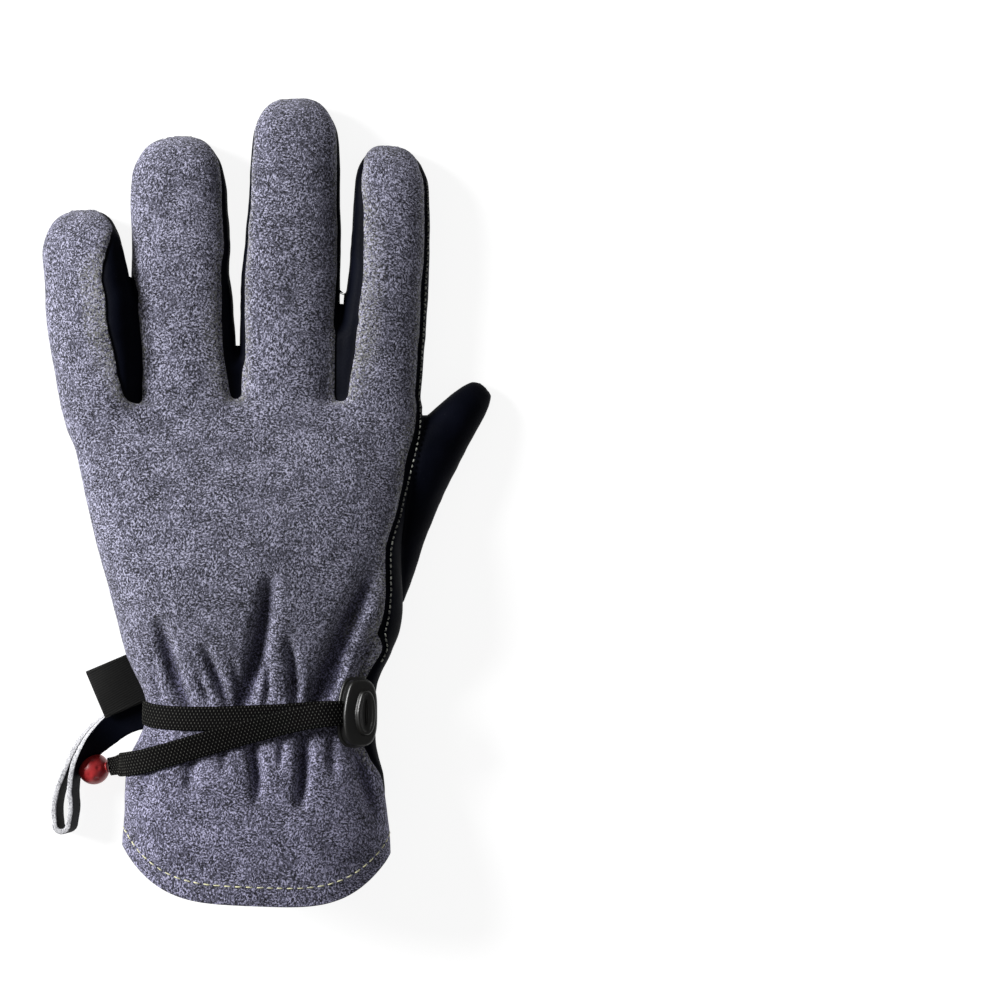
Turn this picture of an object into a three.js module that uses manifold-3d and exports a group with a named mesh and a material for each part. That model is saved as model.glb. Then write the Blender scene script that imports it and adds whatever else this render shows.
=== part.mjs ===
// A leather work glove for a left hand, lying palm down on a surface.
// Millimetres. +Z is up from the surface, +Y runs to the fingertips and +X to the thumb.
// The origin is under the middle of the glove, on the surface.
import * as THREE from 'three';
import { mergeVertices } from 'three/addons/utils/BufferGeometryUtils.js';
import Module from 'manifold-3d';

const wasm = await Module();
wasm.setup();

// Driving sizes of the glove
const GLOVE_LENGTH = 269;
const PALM_WIDTH = 115;
const PALM_THICKNESS = 38;
const FINGER_THICKNESS = 21;
const TIP_ROUNDING = 25;
const LEATHER = 2.0;
const PANEL_GAP = 0.3;
const PIECE_GAP = 0.3;
const REST_FLATTENING = 1.0;
const HEM_BOW_BACK = 18.5;
const HEM_BOW_PALM = 5;

// Driving sizes of the thumb
const THUMB_LENGTH = 79;
const THUMB_WIDTH = 29;
const THUMB_THICKNESS = 20;

// Driving sizes of the webbing and of what it carries
const WEBBING_WIDTH = 8;
const WEBBING_THICKNESS = 1.1;
const BALL_DIAMETER = 10.6;
const BALL_NECK_DIAMETER = 6.4;
const LOCK_LENGTH = 23.5;
const LOCK_WIDTH = 15;
const LOCK_BASE_THICKNESS = 1.3;
const LOCK_COVER_THICKNESS = 1.2;
const LOCK_BOSS_LENGTH = 15;
const LOCK_BOSS_WIDTH = 8.4;
const LOCK_BOSS_HEIGHT = 1.6;
const LOCK_SLOT_DEPTH = 5;
const SLOT_CLEARANCE = 0.25;

// Driving sizes of the label and of the hanging loop
const LABEL_LENGTH = 17;
const LABEL_REACH = 14.5;
const LABEL_THICKNESS = 1.2;
const LOOP_STRIP_WIDTH = 9.5;
const LOOP_STRIP_THICKNESS = 1.4;
const LOOP_REACH = 27;
const LOOP_DROP = 40;

// Where the glove's own middle line and hem lie from the origin
const HAND_LINE_X = -5.2;
const HEM_Y = -GLOVE_LENGTH / 2;

// Steps of the faceted surfaces
const BODY_TOP_STEPS = 22;
const BODY_UNDER_STEPS = 8;
const FINGER_TOP_STEPS = 8;
const FINGER_UNDER_STEPS = 6;
const FINGER_HOLLOW_TOP_STEPS = 6;
const FINGER_HOLLOW_UNDER_STEPS = 4;
const BODY_ROUNDNESS = 0.86;
const FINGER_ROUNDNESS = 0.9;

// Sections of the hand and cuff, from the finger roots down to the hem.
// along: share of the glove's length from the hem. left, right: shares of the palm's width from the
// middle line. top, under: shares of the palm's thickness. bow: share of the hem's bow.
// seamLeft, seamRight: height of the side seams, as shares of the palm's thickness.
const HAND_SECTIONS = [
  { along: 0.622, left: -0.535, right: 0.452, top: 0.48, under: 0.02, bow: 0, seamLeft: 0.12, seamRight: 0.36 },
  { along: 0.611, left: -0.550, right: 0.482, top: 0.53, under: 0.00, bow: 0, seamLeft: 0.15, seamRight: 0.37 },
  { along: 0.590, left: -0.540, right: 0.493, top: 0.60, under: 0.00, bow: 0, seamLeft: 0.19, seamRight: 0.40 },
  { along: 0.556, left: -0.520, right: 0.470, top: 0.71, under: 0.00, bow: 0, seamLeft: 0.24, seamRight: 0.45 },
  { along: 0.519, left: -0.499, right: 0.452, top: 0.82, under: 0.00, bow: 0, seamLeft: 0.28, seamRight: 0.50 },
  { along: 0.482, left: -0.478, right: 0.438, top: 0.91, under: 0.00, bow: 0, seamLeft: 0.31, seamRight: 0.54 },
  { along: 0.440, left: -0.455, right: 0.429, top: 0.98, under: 0.00, bow: 0, seamLeft: 0.33, seamRight: 0.56 },
  { along: 0.400, left: -0.431, right: 0.426, top: 1.00, under: 0.00, bow: 0, seamLeft: 0.34, seamRight: 0.56 },
  { along: 0.367, left: -0.412, right: 0.426, top: 0.97, under: 0.00, bow: 0, seamLeft: 0.34, seamRight: 0.55 },
  { along: 0.338, left: -0.396, right: 0.416, top: 0.90, under: 0.02, bow: 0, seamLeft: 0.35, seamRight: 0.53 },
  { along: 0.312, left: -0.381, right: 0.394, top: 0.83, under: 0.05, bow: 0, seamLeft: 0.36, seamRight: 0.50 },
  { along: 0.290, left: -0.357, right: 0.368, top: 0.79, under: 0.08, bow: 0, seamLeft: 0.36, seamRight: 0.48 },
  { along: 0.271, left: -0.334, right: 0.354, top: 0.77, under: 0.10, bow: 0, seamLeft: 0.37, seamRight: 0.47 },
  { along: 0.255, left: -0.320, right: 0.351, top: 0.76, under: 0.11, bow: 0, seamLeft: 0.37, seamRight: 0.47 },
  { along: 0.238, left: -0.316, right: 0.350, top: 0.76, under: 0.11, bow: 0, seamLeft: 0.37, seamRight: 0.47 },
  { along: 0.221, left: -0.323, right: 0.349, top: 0.77, under: 0.10, bow: 0, seamLeft: 0.37, seamRight: 0.47 },
  { along: 0.203, left: -0.339, right: 0.351, top: 0.80, under: 0.07, bow: 0, seamLeft: 0.37, seamRight: 0.48 },
  { along: 0.183, left: -0.360, right: 0.360, top: 0.85, under: 0.03, bow: 0.05, seamLeft: 0.36, seamRight: 0.50 },
  { along: 0.158, left: -0.374, right: 0.373, top: 0.91, under: 0.00, bow: 0.16, seamLeft: 0.36, seamRight: 0.52 },
  { along: 0.118, left: -0.377, right: 0.382, top: 0.97, under: 0.00, bow: 0.47, seamLeft: 0.36, seamRight: 0.54 },
  { along: 0.069, left: -0.383, right: 0.394, top: 1.02, under: 0.00, bow: 1.00, seamLeft: 0.36, seamRight: 0.56 },
];

// Gathers of the wrist and the folds of the cuff, each a valley along a straight line.
// fromX, toX: shares of the palm's width. fromY, toY: shares of the glove's length.
// spread: share of the palm's width. depth: share of the palm's thickness.
const FOLDS = [
  { fromX: 0.045, fromY: 0.385, toX: -0.037, toY: 0.235, spread: 0.028, depth: 0.125 },
  { fromX: -0.255, fromY: 0.335, toX: -0.186, toY: 0.240, spread: 0.024, depth: 0.090 },
  { fromX: -0.125, fromY: 0.312, toX: -0.075, toY: 0.242, spread: 0.020, depth: 0.055 },
  { fromX: 0.096, fromY: 0.312, toX: 0.124, toY: 0.242, spread: 0.020, depth: 0.055 },
  { fromX: 0.325, fromY: 0.385, toX: 0.175, toY: 0.242, spread: 0.032, depth: 0.120 },
  { fromX: 0.386, fromY: 0.345, toX: 0.281, toY: 0.245, spread: 0.022, depth: 0.060 },
  { fromX: -0.008, fromY: 0.212, toX: 0.009, toY: 0.140, spread: 0.024, depth: 0.065 },
  { fromX: 0.139, fromY: 0.212, toX: 0.146, toY: 0.135, spread: 0.024, depth: 0.075 },
  { fromX: 0.296, fromY: 0.205, toX: 0.357, toY: 0.118, spread: 0.028, depth: 0.080 },
  { fromX: -0.159, fromY: 0.205, toX: -0.183, toY: 0.142, spread: 0.022, depth: 0.050 },
  { fromX: -0.275, fromY: 0.205, toX: -0.305, toY: 0.138, spread: 0.024, depth: 0.060 },
];

// Fingers. tip and root: x as a share of the palm's width from the middle line, y as a share of the
// glove's length from the hem. halfWidth: share of the palm's width. thickness: share of a finger's.
// roll: degrees that the finger's back leans to the little finger's side.
// seamLeft, seamRight: where the back ends on each side, as shares of the finger's half thickness.
const FINGERS = [
  {
    name: 'little', tipX: -0.508, tipY: 0.860, rootX: -0.424, rootY: 0.572,
    halfWidth: 0.124, thickness: 0.92, roll: 28, seamLeft: -0.25, seamRight: 0.74,
  },
  {
    name: 'ring', tipX: -0.228, tipY: 0.951, rootX: -0.172, rootY: 0.562,
    halfWidth: 0.140, thickness: 0.96, roll: 5, seamLeft: 0.42, seamRight: 0.58,
  },
  {
    name: 'middle', tipX: 0.122, tipY: 1.000, rootX: 0.092, rootY: 0.562,
    halfWidth: 0.143, thickness: 1.00, roll: -2, seamLeft: 0.42, seamRight: 0.42,
  },
  {
    name: 'index', tipX: 0.394, tipY: 0.939, rootX: 0.350, rootY: 0.567,
    halfWidth: 0.121, thickness: 0.96, roll: -6, seamLeft: 0.66, seamRight: 0.60,
  },
];

// The blunt fingertip. from: share of the tip's rounding from the very tip. width, height: shares of the
// finger's own.
const TIP_SECTIONS = [
  { from: 0.02, width: 0.40, height: 0.44 },
  { from: 0.11, width: 0.63, height: 0.60 },
  { from: 0.26, width: 0.80, height: 0.75 },
  { from: 0.52, width: 0.92, height: 0.89 },
  { from: 1.00, width: 0.98, height: 0.98 },
];

// The rest of the finger. from: share of what is left, up to the root.
const SHAFT_SECTIONS = [
  { from: 0.58, width: 1.02, height: 1.00 },
  { from: 0.88, width: 0.95, height: 1.00 },
  { from: 1.00, width: 0.86, height: 0.98 },
];

// Route of the thumb: x as a share of the palm's width, y as a share of the glove's length.
const THUMB_ROUTE = [
  { x: 0.664, y: 0.643 },
  { x: 0.550, y: 0.580 },
  { x: 0.428, y: 0.498 },
  { x: 0.315, y: 0.392 },
];

// Sections of the thumb. from: share of its length from the tip. width, height: shares of its own.
const THUMB_SECTIONS = [
  { from: 0.005, width: 0.22, height: 0.30 },
  { from: 0.04, width: 0.36, height: 0.48 },
  { from: 0.12, width: 0.49, height: 0.66 },
  { from: 0.26, width: 0.66, height: 0.82 },
  { from: 0.50, width: 0.85, height: 0.96 },
  { from: 0.78, width: 1.00, height: 1.00 },
  { from: 1.00, width: 1.00, height: 0.96 },
];

// Where the side bands between the fingers start and end, as shares of the finger's own sizes
const BAND_START = 0.20;
const BAND_START_OPENING = 0.30;
const BAND_FULL = 0.80;
const BAND_REACH = 1.14;
const OPEN_SIDE_REACH = 1.3;
const BAND_ROOT = 0.93;
const BAND_UNDER = -0.5;

// Small helpers
const lerp = THREE.MathUtils.lerp;
const UP = new THREE.Vector3(0, 0, 1);

function handX(share) {
  return HAND_LINE_X + share * PALM_WIDTH;
}

function alongY(share) {
  return HEM_Y + share * GLOVE_LENGTH;
}

function roundedPower(value, power) {
  return Math.sign(value) * Math.abs(value) ** power;
}

function ringAngles(topSteps, underSteps) {
  const angles = [];
  for (let i = 0; i < topSteps; i += 1) angles.push((Math.PI * i) / topSteps);
  for (let i = 0; i < underSteps; i += 1) angles.push(Math.PI * (1 + i / underSteps));
  return angles;
}

const BODY_ANGLES = ringAngles(BODY_TOP_STEPS, BODY_UNDER_STEPS);
const FINGER_ANGLES = ringAngles(FINGER_TOP_STEPS, FINGER_UNDER_STEPS);
const FINGER_HOLLOW_ANGLES = ringAngles(FINGER_HOLLOW_TOP_STEPS, FINGER_HOLLOW_UNDER_STEPS);

// Closed meshes, their booleans and the named pieces

// The signed volume of an indexed geometry, negative when its faces point inwards.
function signedVolume(geometry) {
  const position = geometry.getAttribute('position');
  const index = geometry.getIndex();
  const a = new THREE.Vector3();
  const b = new THREE.Vector3();
  const c = new THREE.Vector3();
  let volume = 0;
  for (let i = 0; i < index.count; i += 3) {
    a.fromBufferAttribute(position, index.getX(i));
    b.fromBufferAttribute(position, index.getX(i + 1));
    c.fromBufferAttribute(position, index.getX(i + 2));
    volume += a.dot(b.cross(c)) / 6;
  }
  return volume;
}

// A solid for cutting and joining, from any closed geometry.
function solidOf(geometry) {
  const bare = geometry.clone();
  bare.deleteAttribute('normal');
  bare.deleteAttribute('uv');
  const merged = mergeVertices(bare, 1e-4);
  const triVerts = Uint32Array.from(merged.getIndex().array);
  if (signedVolume(merged) < 0) {
    for (let i = 0; i < triVerts.length; i += 3) {
      const kept = triVerts[i];
      triVerts[i] = triVerts[i + 1];
      triVerts[i + 1] = kept;
    }
  }
  const vertProperties = Float32Array.from(merged.getAttribute('position').array);
  return new wasm.Manifold(new wasm.Mesh({ numProp: 3, vertProperties, triVerts }));
}

function geometryOf(solid) {
  const mesh = solid.getMesh();
  const geometry = new THREE.BufferGeometry();
  geometry.setAttribute('position', new THREE.BufferAttribute(mesh.vertProperties, 3));
  geometry.setIndex(new THREE.BufferAttribute(mesh.triVerts, 1));
  geometry.computeVertexNormals();
  return geometry;
}

function unionOf(solids) {
  return solids.reduce((joined, solid) => joined.add(solid));
}

// A closed solid through rings of equal point counts, with a fan over each end.
function loftSolid(rings) {
  const count = rings[0].length;
  const positions = [];
  const indices = [];
  rings.forEach((ring) => ring.forEach((p) => positions.push(p.x, p.y, p.z)));
  for (let r = 0; r + 1 < rings.length; r += 1) {
    for (let i = 0; i < count; i += 1) {
      const j = (i + 1) % count;
      const a = r * count + i;
      const b = r * count + j;
      indices.push(a, b, b + count, a, b + count, a + count);
    }
  }
  [0, rings.length - 1].forEach((r) => {
    const middle = new THREE.Vector3();
    rings[r].forEach((p) => middle.addScaledVector(p, 1 / count));
    const centre = positions.length / 3;
    positions.push(middle.x, middle.y, middle.z);
    for (let i = 0; i < count; i += 1) {
      const a = r * count + i;
      const b = r * count + ((i + 1) % count);
      if (r === 0) indices.push(centre, b, a);
      else indices.push(centre, a, b);
    }
  });
  const geometry = new THREE.BufferGeometry();
  geometry.setAttribute('position', new THREE.Float32BufferAttribute(positions, 3));
  geometry.setIndex(indices);
  return solidOf(geometry);
}

// A ribbon through stations. Each station gives the point at an offset across and a height.
function ribbonGeometry(stations, width, thickness, acrossSteps) {
  const rings = stations.map((pointAt) => {
    const ring = [];
    for (let i = 0; i <= acrossSteps; i += 1) ring.push(pointAt(width * (i / acrossSteps - 0.5), 0));
    for (let i = acrossSteps; i >= 0; i -= 1) ring.push(pointAt(width * (i / acrossSteps - 0.5), thickness));
    return ring;
  });
  return geometryOf(loftSolid(rings));
}

// Surfaces of the hand and cuff

// The section at a place along the glove, between the rows of the table.
function handSection(y) {
  const share = (y - HEM_Y) / GLOVE_LENGTH;
  const last = HAND_SECTIONS.length - 1;
  let i = 0;
  while (i < last - 1 && HAND_SECTIONS[i + 1].along > share) i += 1;
  const upper = HAND_SECTIONS[i];
  const lower = HAND_SECTIONS[i + 1];
  const t = THREE.MathUtils.clamp((upper.along - share) / (upper.along - lower.along), 0, 1);
  const mixed = {};
  Object.keys(upper).forEach((key) => {
    mixed[key] = lerp(upper[key], lower[key], t);
  });
  return { ...mixed, along: share };
}

function foldDepth(x, y) {
  let depth = 0;
  FOLDS.forEach((fold) => {
    const start = new THREE.Vector2(handX(fold.fromX), alongY(fold.fromY));
    const run = new THREE.Vector2(handX(fold.toX), alongY(fold.toY)).sub(start);
    const offset = new THREE.Vector2(x, y).sub(start);
    const t = offset.dot(run) / run.lengthSq();
    if (t <= -0.12 || t >= 1.12) return;
    const aside = Math.abs(offset.cross(run)) / run.length() / (fold.spread * PALM_WIDTH);
    const fade = Math.sin((Math.PI * (t + 0.12)) / 1.24) ** 0.7;
    depth += fold.depth * PALM_THICKNESS * fade * Math.exp(-aside * aside);
  });
  return depth;
}

// A point of the hand's surface, moved in by an inset. folded adds the gathers.
function handPoint(section, angle, inset, folded) {
  const left = handX(section.left) + inset;
  const right = handX(section.right) - inset;
  const top = section.top * PALM_THICKNESS - inset;
  const under = section.under * PALM_THICKNESS - REST_FLATTENING + inset;
  const halfWidth = (right - left) / 2;
  const halfHeight = (top - under) / 2;
  const across = roundedPower(Math.cos(angle), BODY_ROUNDNESS);
  const rise = roundedPower(Math.sin(angle), BODY_ROUNDNESS);
  const x = (left + right) / 2 + halfWidth * across;
  const bow = (rise >= 0 ? HEM_BOW_BACK : HEM_BOW_PALM) * section.bow * (1 - across * across);
  const y = alongY(section.along) - bow;
  let z = (top + under) / 2 + halfHeight * rise;
  if (folded && rise > 0) z -= foldDepth(x, y) * Math.min(1, 1.6 * rise * rise);
  return new THREE.Vector3(x, y, Math.max(z, inset));
}

function handRings(inset) {
  return HAND_SECTIONS.map((section) => BODY_ANGLES.map((angle) => handPoint(section, angle, inset, true)));
}

// The outside of the hand. The last ring is stepped inwards, so that the hem's edge is cut square.
function handOuter(grow) {
  const rings = handRings(-grow);
  const hem = rings[rings.length - 1];
  const middle = new THREE.Vector3();
  hem.forEach((p) => middle.addScaledVector(p, 1 / hem.length));
  const step = 1 - (5 * LEATHER) / PALM_WIDTH;
  rings.push(hem.map((p) => new THREE.Vector3(
    lerp(middle.x, p.x, step),
    p.y,
    lerp(middle.z, p.z, 1 - (5 * LEATHER) / PALM_THICKNESS),
  )));
  return loftSolid(rings);
}

// The hollow of the hand, which runs out through the open hem.
function handHollow() {
  const rings = handRings(LEATHER);
  rings[0].forEach((p) => {
    p.y -= LEATHER;
  });
  const mouth = rings[rings.length - 1].map((p) => p.clone().setY(HEM_Y - HEM_BOW_BACK));
  rings.push(mouth);
  return loftSolid(rings);
}

// Surfaces of the fingers and the thumb

// The frame of a finger's section at a distance from its tip.
function fingerFrame(finger, distance) {
  const tip = new THREE.Vector3(handX(finger.tipX), alongY(finger.tipY), 0);
  const root = new THREE.Vector3(handX(finger.rootX), alongY(finger.rootY), 0);
  const back = root.clone().sub(tip).normalize();
  const level = new THREE.Vector3().crossVectors(UP, back).normalize();
  const roll = THREE.MathUtils.degToRad(finger.roll);
  const right = level.clone().multiplyScalar(Math.cos(roll)).addScaledVector(UP, Math.sin(roll));
  const up = UP.clone().multiplyScalar(Math.cos(roll)).addScaledVector(level, -Math.sin(roll));
  return { centre: tip.addScaledVector(back, distance), right, up };
}

function fingerLength(finger) {
  return Math.hypot(
    (finger.tipX - finger.rootX) * PALM_WIDTH,
    (finger.tipY - finger.rootY) * GLOVE_LENGTH,
  );
}

// The rows of a finger, as distances from its tip with half widths and half heights.
function fingerRows(finger) {
  const length = fingerLength(finger);
  const halfWidth = finger.halfWidth * PALM_WIDTH;
  const halfHeight = (finger.thickness * FINGER_THICKNESS) / 2;
  const rows = TIP_SECTIONS.map((row) => ({
    distance: row.from * TIP_ROUNDING, width: row.width * halfWidth, height: row.height * halfHeight,
  }));
  SHAFT_SECTIONS.forEach((row) => rows.push({
    distance: lerp(TIP_ROUNDING, length, row.from), width: row.width * halfWidth, height: row.height * halfHeight,
  }));
  return rows;
}

// The height of a section's middle, so that it rests a little flattened.
function restingHeight(frame, width, height) {
  const sway = Math.hypot(frame.right.z * width, frame.up.z * height);
  return sway - REST_FLATTENING;
}

function sectionRing(frame, width, height, inset) {
  const lift = restingHeight(frame, width, height);
  const angles = inset > 0 ? FINGER_HOLLOW_ANGLES : FINGER_ANGLES;
  return angles.map((angle) => {
    const across = (width - inset) * roundedPower(Math.cos(angle), FINGER_ROUNDNESS);
    const rise = (height - inset) * roundedPower(Math.sin(angle), FINGER_ROUNDNESS);
    const point = frame.centre.clone().addScaledVector(frame.right, across).addScaledVector(frame.up, rise);
    point.z = Math.max(point.z + lift, inset);
    return point;
  });
}

// A finger's outside, or with an inset its hollow, which needs only every other row.
function fingerSolid(finger, inset) {
  const length = fingerLength(finger);
  const rows = fingerRows(finger).filter((row, i) => inset <= 0 || i % 2 === 0);
  const rings = rows.map((row) => {
    const distance = inset + (row.distance * (length - inset)) / length;
    return sectionRing(fingerFrame(finger, distance), row.width, row.height, inset);
  });
  return loftSolid(rings);
}

const thumbCurve = new THREE.CatmullRomCurve3(
  THUMB_ROUTE.map((p) => new THREE.Vector3(handX(p.x), alongY(p.y), 0)),
);

function thumbFrame(from) {
  const route = THREE.MathUtils.clamp(from, 0, 1);
  const back = thumbCurve.getTangentAt(route);
  const right = new THREE.Vector3().crossVectors(UP, back).normalize();
  const end = thumbCurve.getPointAt(1);
  const scale = THUMB_LENGTH / thumbCurve.getLength();
  const centre = thumbCurve.getPointAt(route).sub(end).multiplyScalar(scale).add(end);
  return { centre, right, up: UP };
}

function thumbSolid(inset) {
  const rings = THUMB_SECTIONS.map((row) => {
    const from = inset / THUMB_LENGTH + row.from * (1 - inset / THUMB_LENGTH);
    const width = Math.max((row.width * THUMB_WIDTH) / 2, inset * 1.4);
    const height = Math.max((row.height * THUMB_THICKNESS) / 2, inset * 1.4);
    return sectionRing(thumbFrame(from), width, height, inset);
  });
  return loftSolid(rings);
}

// Cutters that part the panels along the seams

// What lies below the side seams of the hand, from one side to the other.
function underHand(raise) {
  const sections = HAND_SECTIONS.map((section) => ({ ...section, y: alongY(section.along) }));
  const last = sections[sections.length - 1];
  sections.push({ ...last, y: HEM_Y - HEM_BOW_BACK });
  const rings = sections.map((section) => {
    const reach = 2 * LEATHER;
    const left = handX(section.left) - reach;
    const right = handX(section.right) + reach;
    const floor = -reach;
    return [
      new THREE.Vector3(left, section.y, floor),
      new THREE.Vector3(right, section.y, floor),
      new THREE.Vector3(right, section.y, section.seamRight * PALM_THICKNESS + raise),
      new THREE.Vector3(left, section.y, section.seamLeft * PALM_THICKNESS + raise),
    ];
  });
  return loftSolid(rings);
}

// A four-cornered loft along a finger, in the finger's own rolled frame.
function fingerPrism(finger, rows, corners) {
  const rings = rows.map((row) => {
    const frame = fingerFrame(finger, row.distance);
    const lift = restingHeight(frame, row.width, row.height);
    return corners(row).map(([across, rise]) => {
      const point = frame.centre.clone().addScaledVector(frame.right, across).addScaledVector(frame.up, rise);
      point.z += lift;
      return point;
    });
  });
  return loftSolid(rings);
}

// What lies below a finger's side seams. On a side with a band it only reaches the finger's own edge.
function underFinger(finger, raise) {
  const rows = fingerRows(finger);
  const first = { ...rows[0], distance: -LEATHER };
  const low = -2.2;
  return fingerPrism(finger, [first, ...rows], (row) => {
    const opening = seamOpening(row.distance);
    const withinBand = BAND_UNDER * 0.8 * opening;
    const bandReach = lerp(1.12, 0.93, opening) * row.width;
    const openReach = OPEN_SIDE_REACH * row.width;
    const left = finger.name === 'little' ? -openReach : -bandReach;
    const right = finger.name === 'index' ? openReach : bandReach;
    const seamLeft = finger.name === 'little' ? finger.seamLeft : withinBand;
    const seamRight = finger.name === 'index' ? finger.seamRight : withinBand;
    return [
      [left, low * row.height],
      [right, low * row.height],
      [right, seamRight * row.height + raise],
      [left, seamLeft * row.height + raise],
    ];
  });
}

// How far the side band has opened at a distance from the tip.
function seamOpening(distance) {
  const t = THREE.MathUtils.smoothstep(distance / TIP_ROUNDING, BAND_START, BAND_FULL);
  return lerp(BAND_START_OPENING, 1, t);
}

// The side band of a finger. side: 1 for its right side, -1 for its left. grow widens it for the gap.
function sideBand(finger, side, grow) {
  const seam = side > 0 ? finger.seamRight : finger.seamLeft;
  const start = BAND_START * TIP_ROUNDING;
  const end = fingerLength(finger) * BAND_ROOT;
  const inner = fingerRows(finger).filter((row) => row.distance > start && row.distance < end);
  const rows = [
    { ...inner[0], distance: start - grow },
    ...inner,
    { ...inner[inner.length - 1], distance: end + grow },
  ];
  return fingerPrism(finger, rows, (row) => {
    const opening = seamOpening(row.distance) * row.height;
    const high = seam * opening + grow;
    const low = BAND_UNDER * opening - grow;
    const edge = side * BAND_REACH * row.width;
    return [[-side * grow, low], [edge, low], [edge, high], [-side * grow, high]];
  });
}

// The leather panels

function leatherPanels() {
  const outside = unionOf([handOuter(0), ...FINGERS.map((finger) => fingerSolid(finger, 0))]);
  const hollow = unionOf([handHollow(), ...FINGERS.map((finger) => fingerSolid(finger, LEATHER))]);
  const shell = outside.subtract(hollow);
  const below = (raise) => unionOf([
    underHand(raise),
    ...FINGERS.map((finger) => underFinger(finger, raise)),
  ]);
  const bands = (grow) => FINGERS.slice(0, -1).map((finger, i) => unionOf([
    sideBand(finger, 1, grow),
    sideBand(FINGERS[i + 1], -1, grow),
  ]));
  const widened = unionOf(bands(PANEL_GAP));
  const thumbHollow = thumbSolid(LEATHER);
  const back = shell.subtract(below(PANEL_GAP / 2)).subtract(widened);
  const palm = shell.intersect(below(-PANEL_GAP / 2)).subtract(widened).subtract(thumbHollow);
  const fourchettes = bands(0).map((band) => shell.intersect(band));
  const index = FINGERS[FINGERS.length - 1];
  const beside = handOuter(PIECE_GAP).add(fingerSolid(index, -PIECE_GAP));
  const thumb = thumbSolid(0).subtract(thumbHollow).subtract(beside);
  return { back, palm, fourchettes, thumb };
}

const leather = leatherPanels();

// The seat of a flat piece on the wrist

// A frame that stands on the wrist's outside, with its axes along, across and out of the leather.
function wristFrame(along, angle) {
  const y = alongY(along);
  const step = 0.02;
  const at = handPoint(handSection(y), angle, 0, false);
  const further = handPoint(handSection(y), angle + step, 0, false);
  const across = further.sub(at).setY(0).normalize();
  const forward = new THREE.Vector3(0, 1, 0);
  const out = new THREE.Vector3().crossVectors(forward, across).normalize();
  return { at, across, forward, out };
}

function framePoint(frame, across, forward, out) {
  return frame.at.clone()
    .addScaledVector(frame.across, across)
    .addScaledVector(frame.forward, forward)
    .addScaledVector(frame.out, out);
}

// How far the leather rises above the frame's plane under an oval plate.
function riseUnderPlate(frame, length, width) {
  let highest = 0;
  for (let i = -8; i <= 8; i += 1) {
    const y = frame.at.y + (i / 8) * (length / 2);
    for (let angle = 0; angle <= Math.PI; angle += Math.PI / 60) {
      const offset = handPoint(handSection(y), angle, 0, false).sub(frame.at);
      const across = offset.dot(frame.across);
      const inside = Math.hypot(across / (width / 2), offset.y / (length / 2)) <= 1.05;
      if (inside) highest = Math.max(highest, offset.dot(frame.out));
    }
  }
  return highest;
}

// The oval lock on the thumb side of the wrist, with a slot for the webbing
const LOCK_ALONG = 0.239;
const LOCK_ANGLE = THREE.MathUtils.degToRad(34);
const LOCK_SLOT_HEIGHT = 2 * WEBBING_THICKNESS + 3 * SLOT_CLEARANCE;
const LOCK_HEIGHT = LOCK_BASE_THICKNESS + LOCK_SLOT_HEIGHT + LOCK_COVER_THICKNESS;

function lockSeatFrame() {
  const frame = wristFrame(LOCK_ALONG, LOCK_ANGLE);
  const lift = riseUnderPlate(frame, LOCK_LENGTH, LOCK_WIDTH) + PIECE_GAP;
  frame.at.addScaledVector(frame.out, lift);
  return frame;
}

function ovalGeometry(length, width, height, bevel) {
  const shape = new THREE.Shape();
  shape.absellipse(0, 0, width / 2 - bevel, length / 2 - bevel, 0, 2 * Math.PI);
  return new THREE.ExtrudeGeometry(shape, {
    depth: height - 2 * bevel,
    curveSegments: 9,
    bevelThickness: bevel,
    bevelSize: bevel,
    bevelSegments: 1,
  }).translate(0, 0, bevel);
}

// The lock in its own frame: x across, y forward, z out of the leather.
function lockSolid() {
  const rim = 0.4;
  const base = solidOf(ovalGeometry(LOCK_LENGTH, LOCK_WIDTH, LOCK_BASE_THICKNESS, rim));
  const inset = LOCK_BASE_THICKNESS;
  const house = solidOf(
    ovalGeometry(LOCK_LENGTH - inset, LOCK_WIDTH - inset, LOCK_HEIGHT, rim),
  );
  const boss = solidOf(
    ovalGeometry(LOCK_BOSS_LENGTH, LOCK_BOSS_WIDTH, LOCK_HEIGHT + LOCK_BOSS_HEIGHT, rim)
      .translate(-(LOCK_WIDTH - LOCK_BOSS_WIDTH) / 2 + 2.4 * rim, 0, 0),
  );
  const slotWidth = WEBBING_WIDTH + 2 * SLOT_CLEARANCE;
  const slot = solidOf(
    new THREE.BoxGeometry(LOCK_SLOT_DEPTH * 2, slotWidth, LOCK_SLOT_HEIGHT)
      .translate(LOCK_WIDTH / 2, 0, LOCK_BASE_THICKNESS + LOCK_SLOT_HEIGHT / 2),
  );
  return base.add(house).add(boss).subtract(slot);
}

const lockFrame = lockSeatFrame();

function lockGeometry() {
  const basis = new THREE.Matrix4()
    .makeBasis(lockFrame.across, lockFrame.forward, lockFrame.out)
    .setPosition(lockFrame.at);
  return geometryOf(solidOf(geometryOf(lockSolid()).applyMatrix4(basis)));
}

// The strap: webbing from the seam at the little finger's side, over the gathers, into the lock's slot.
const STRAP_ALONG = 0.2385;
const STRAP_SAG = 0.007;
const STRAP_START_ANGLE = THREE.MathUtils.degToRad(179);
const STRAP_LEAVES_ANGLE = THREE.MathUtils.degToRad(63);
const STRAP_STEPS = 15;

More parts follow.
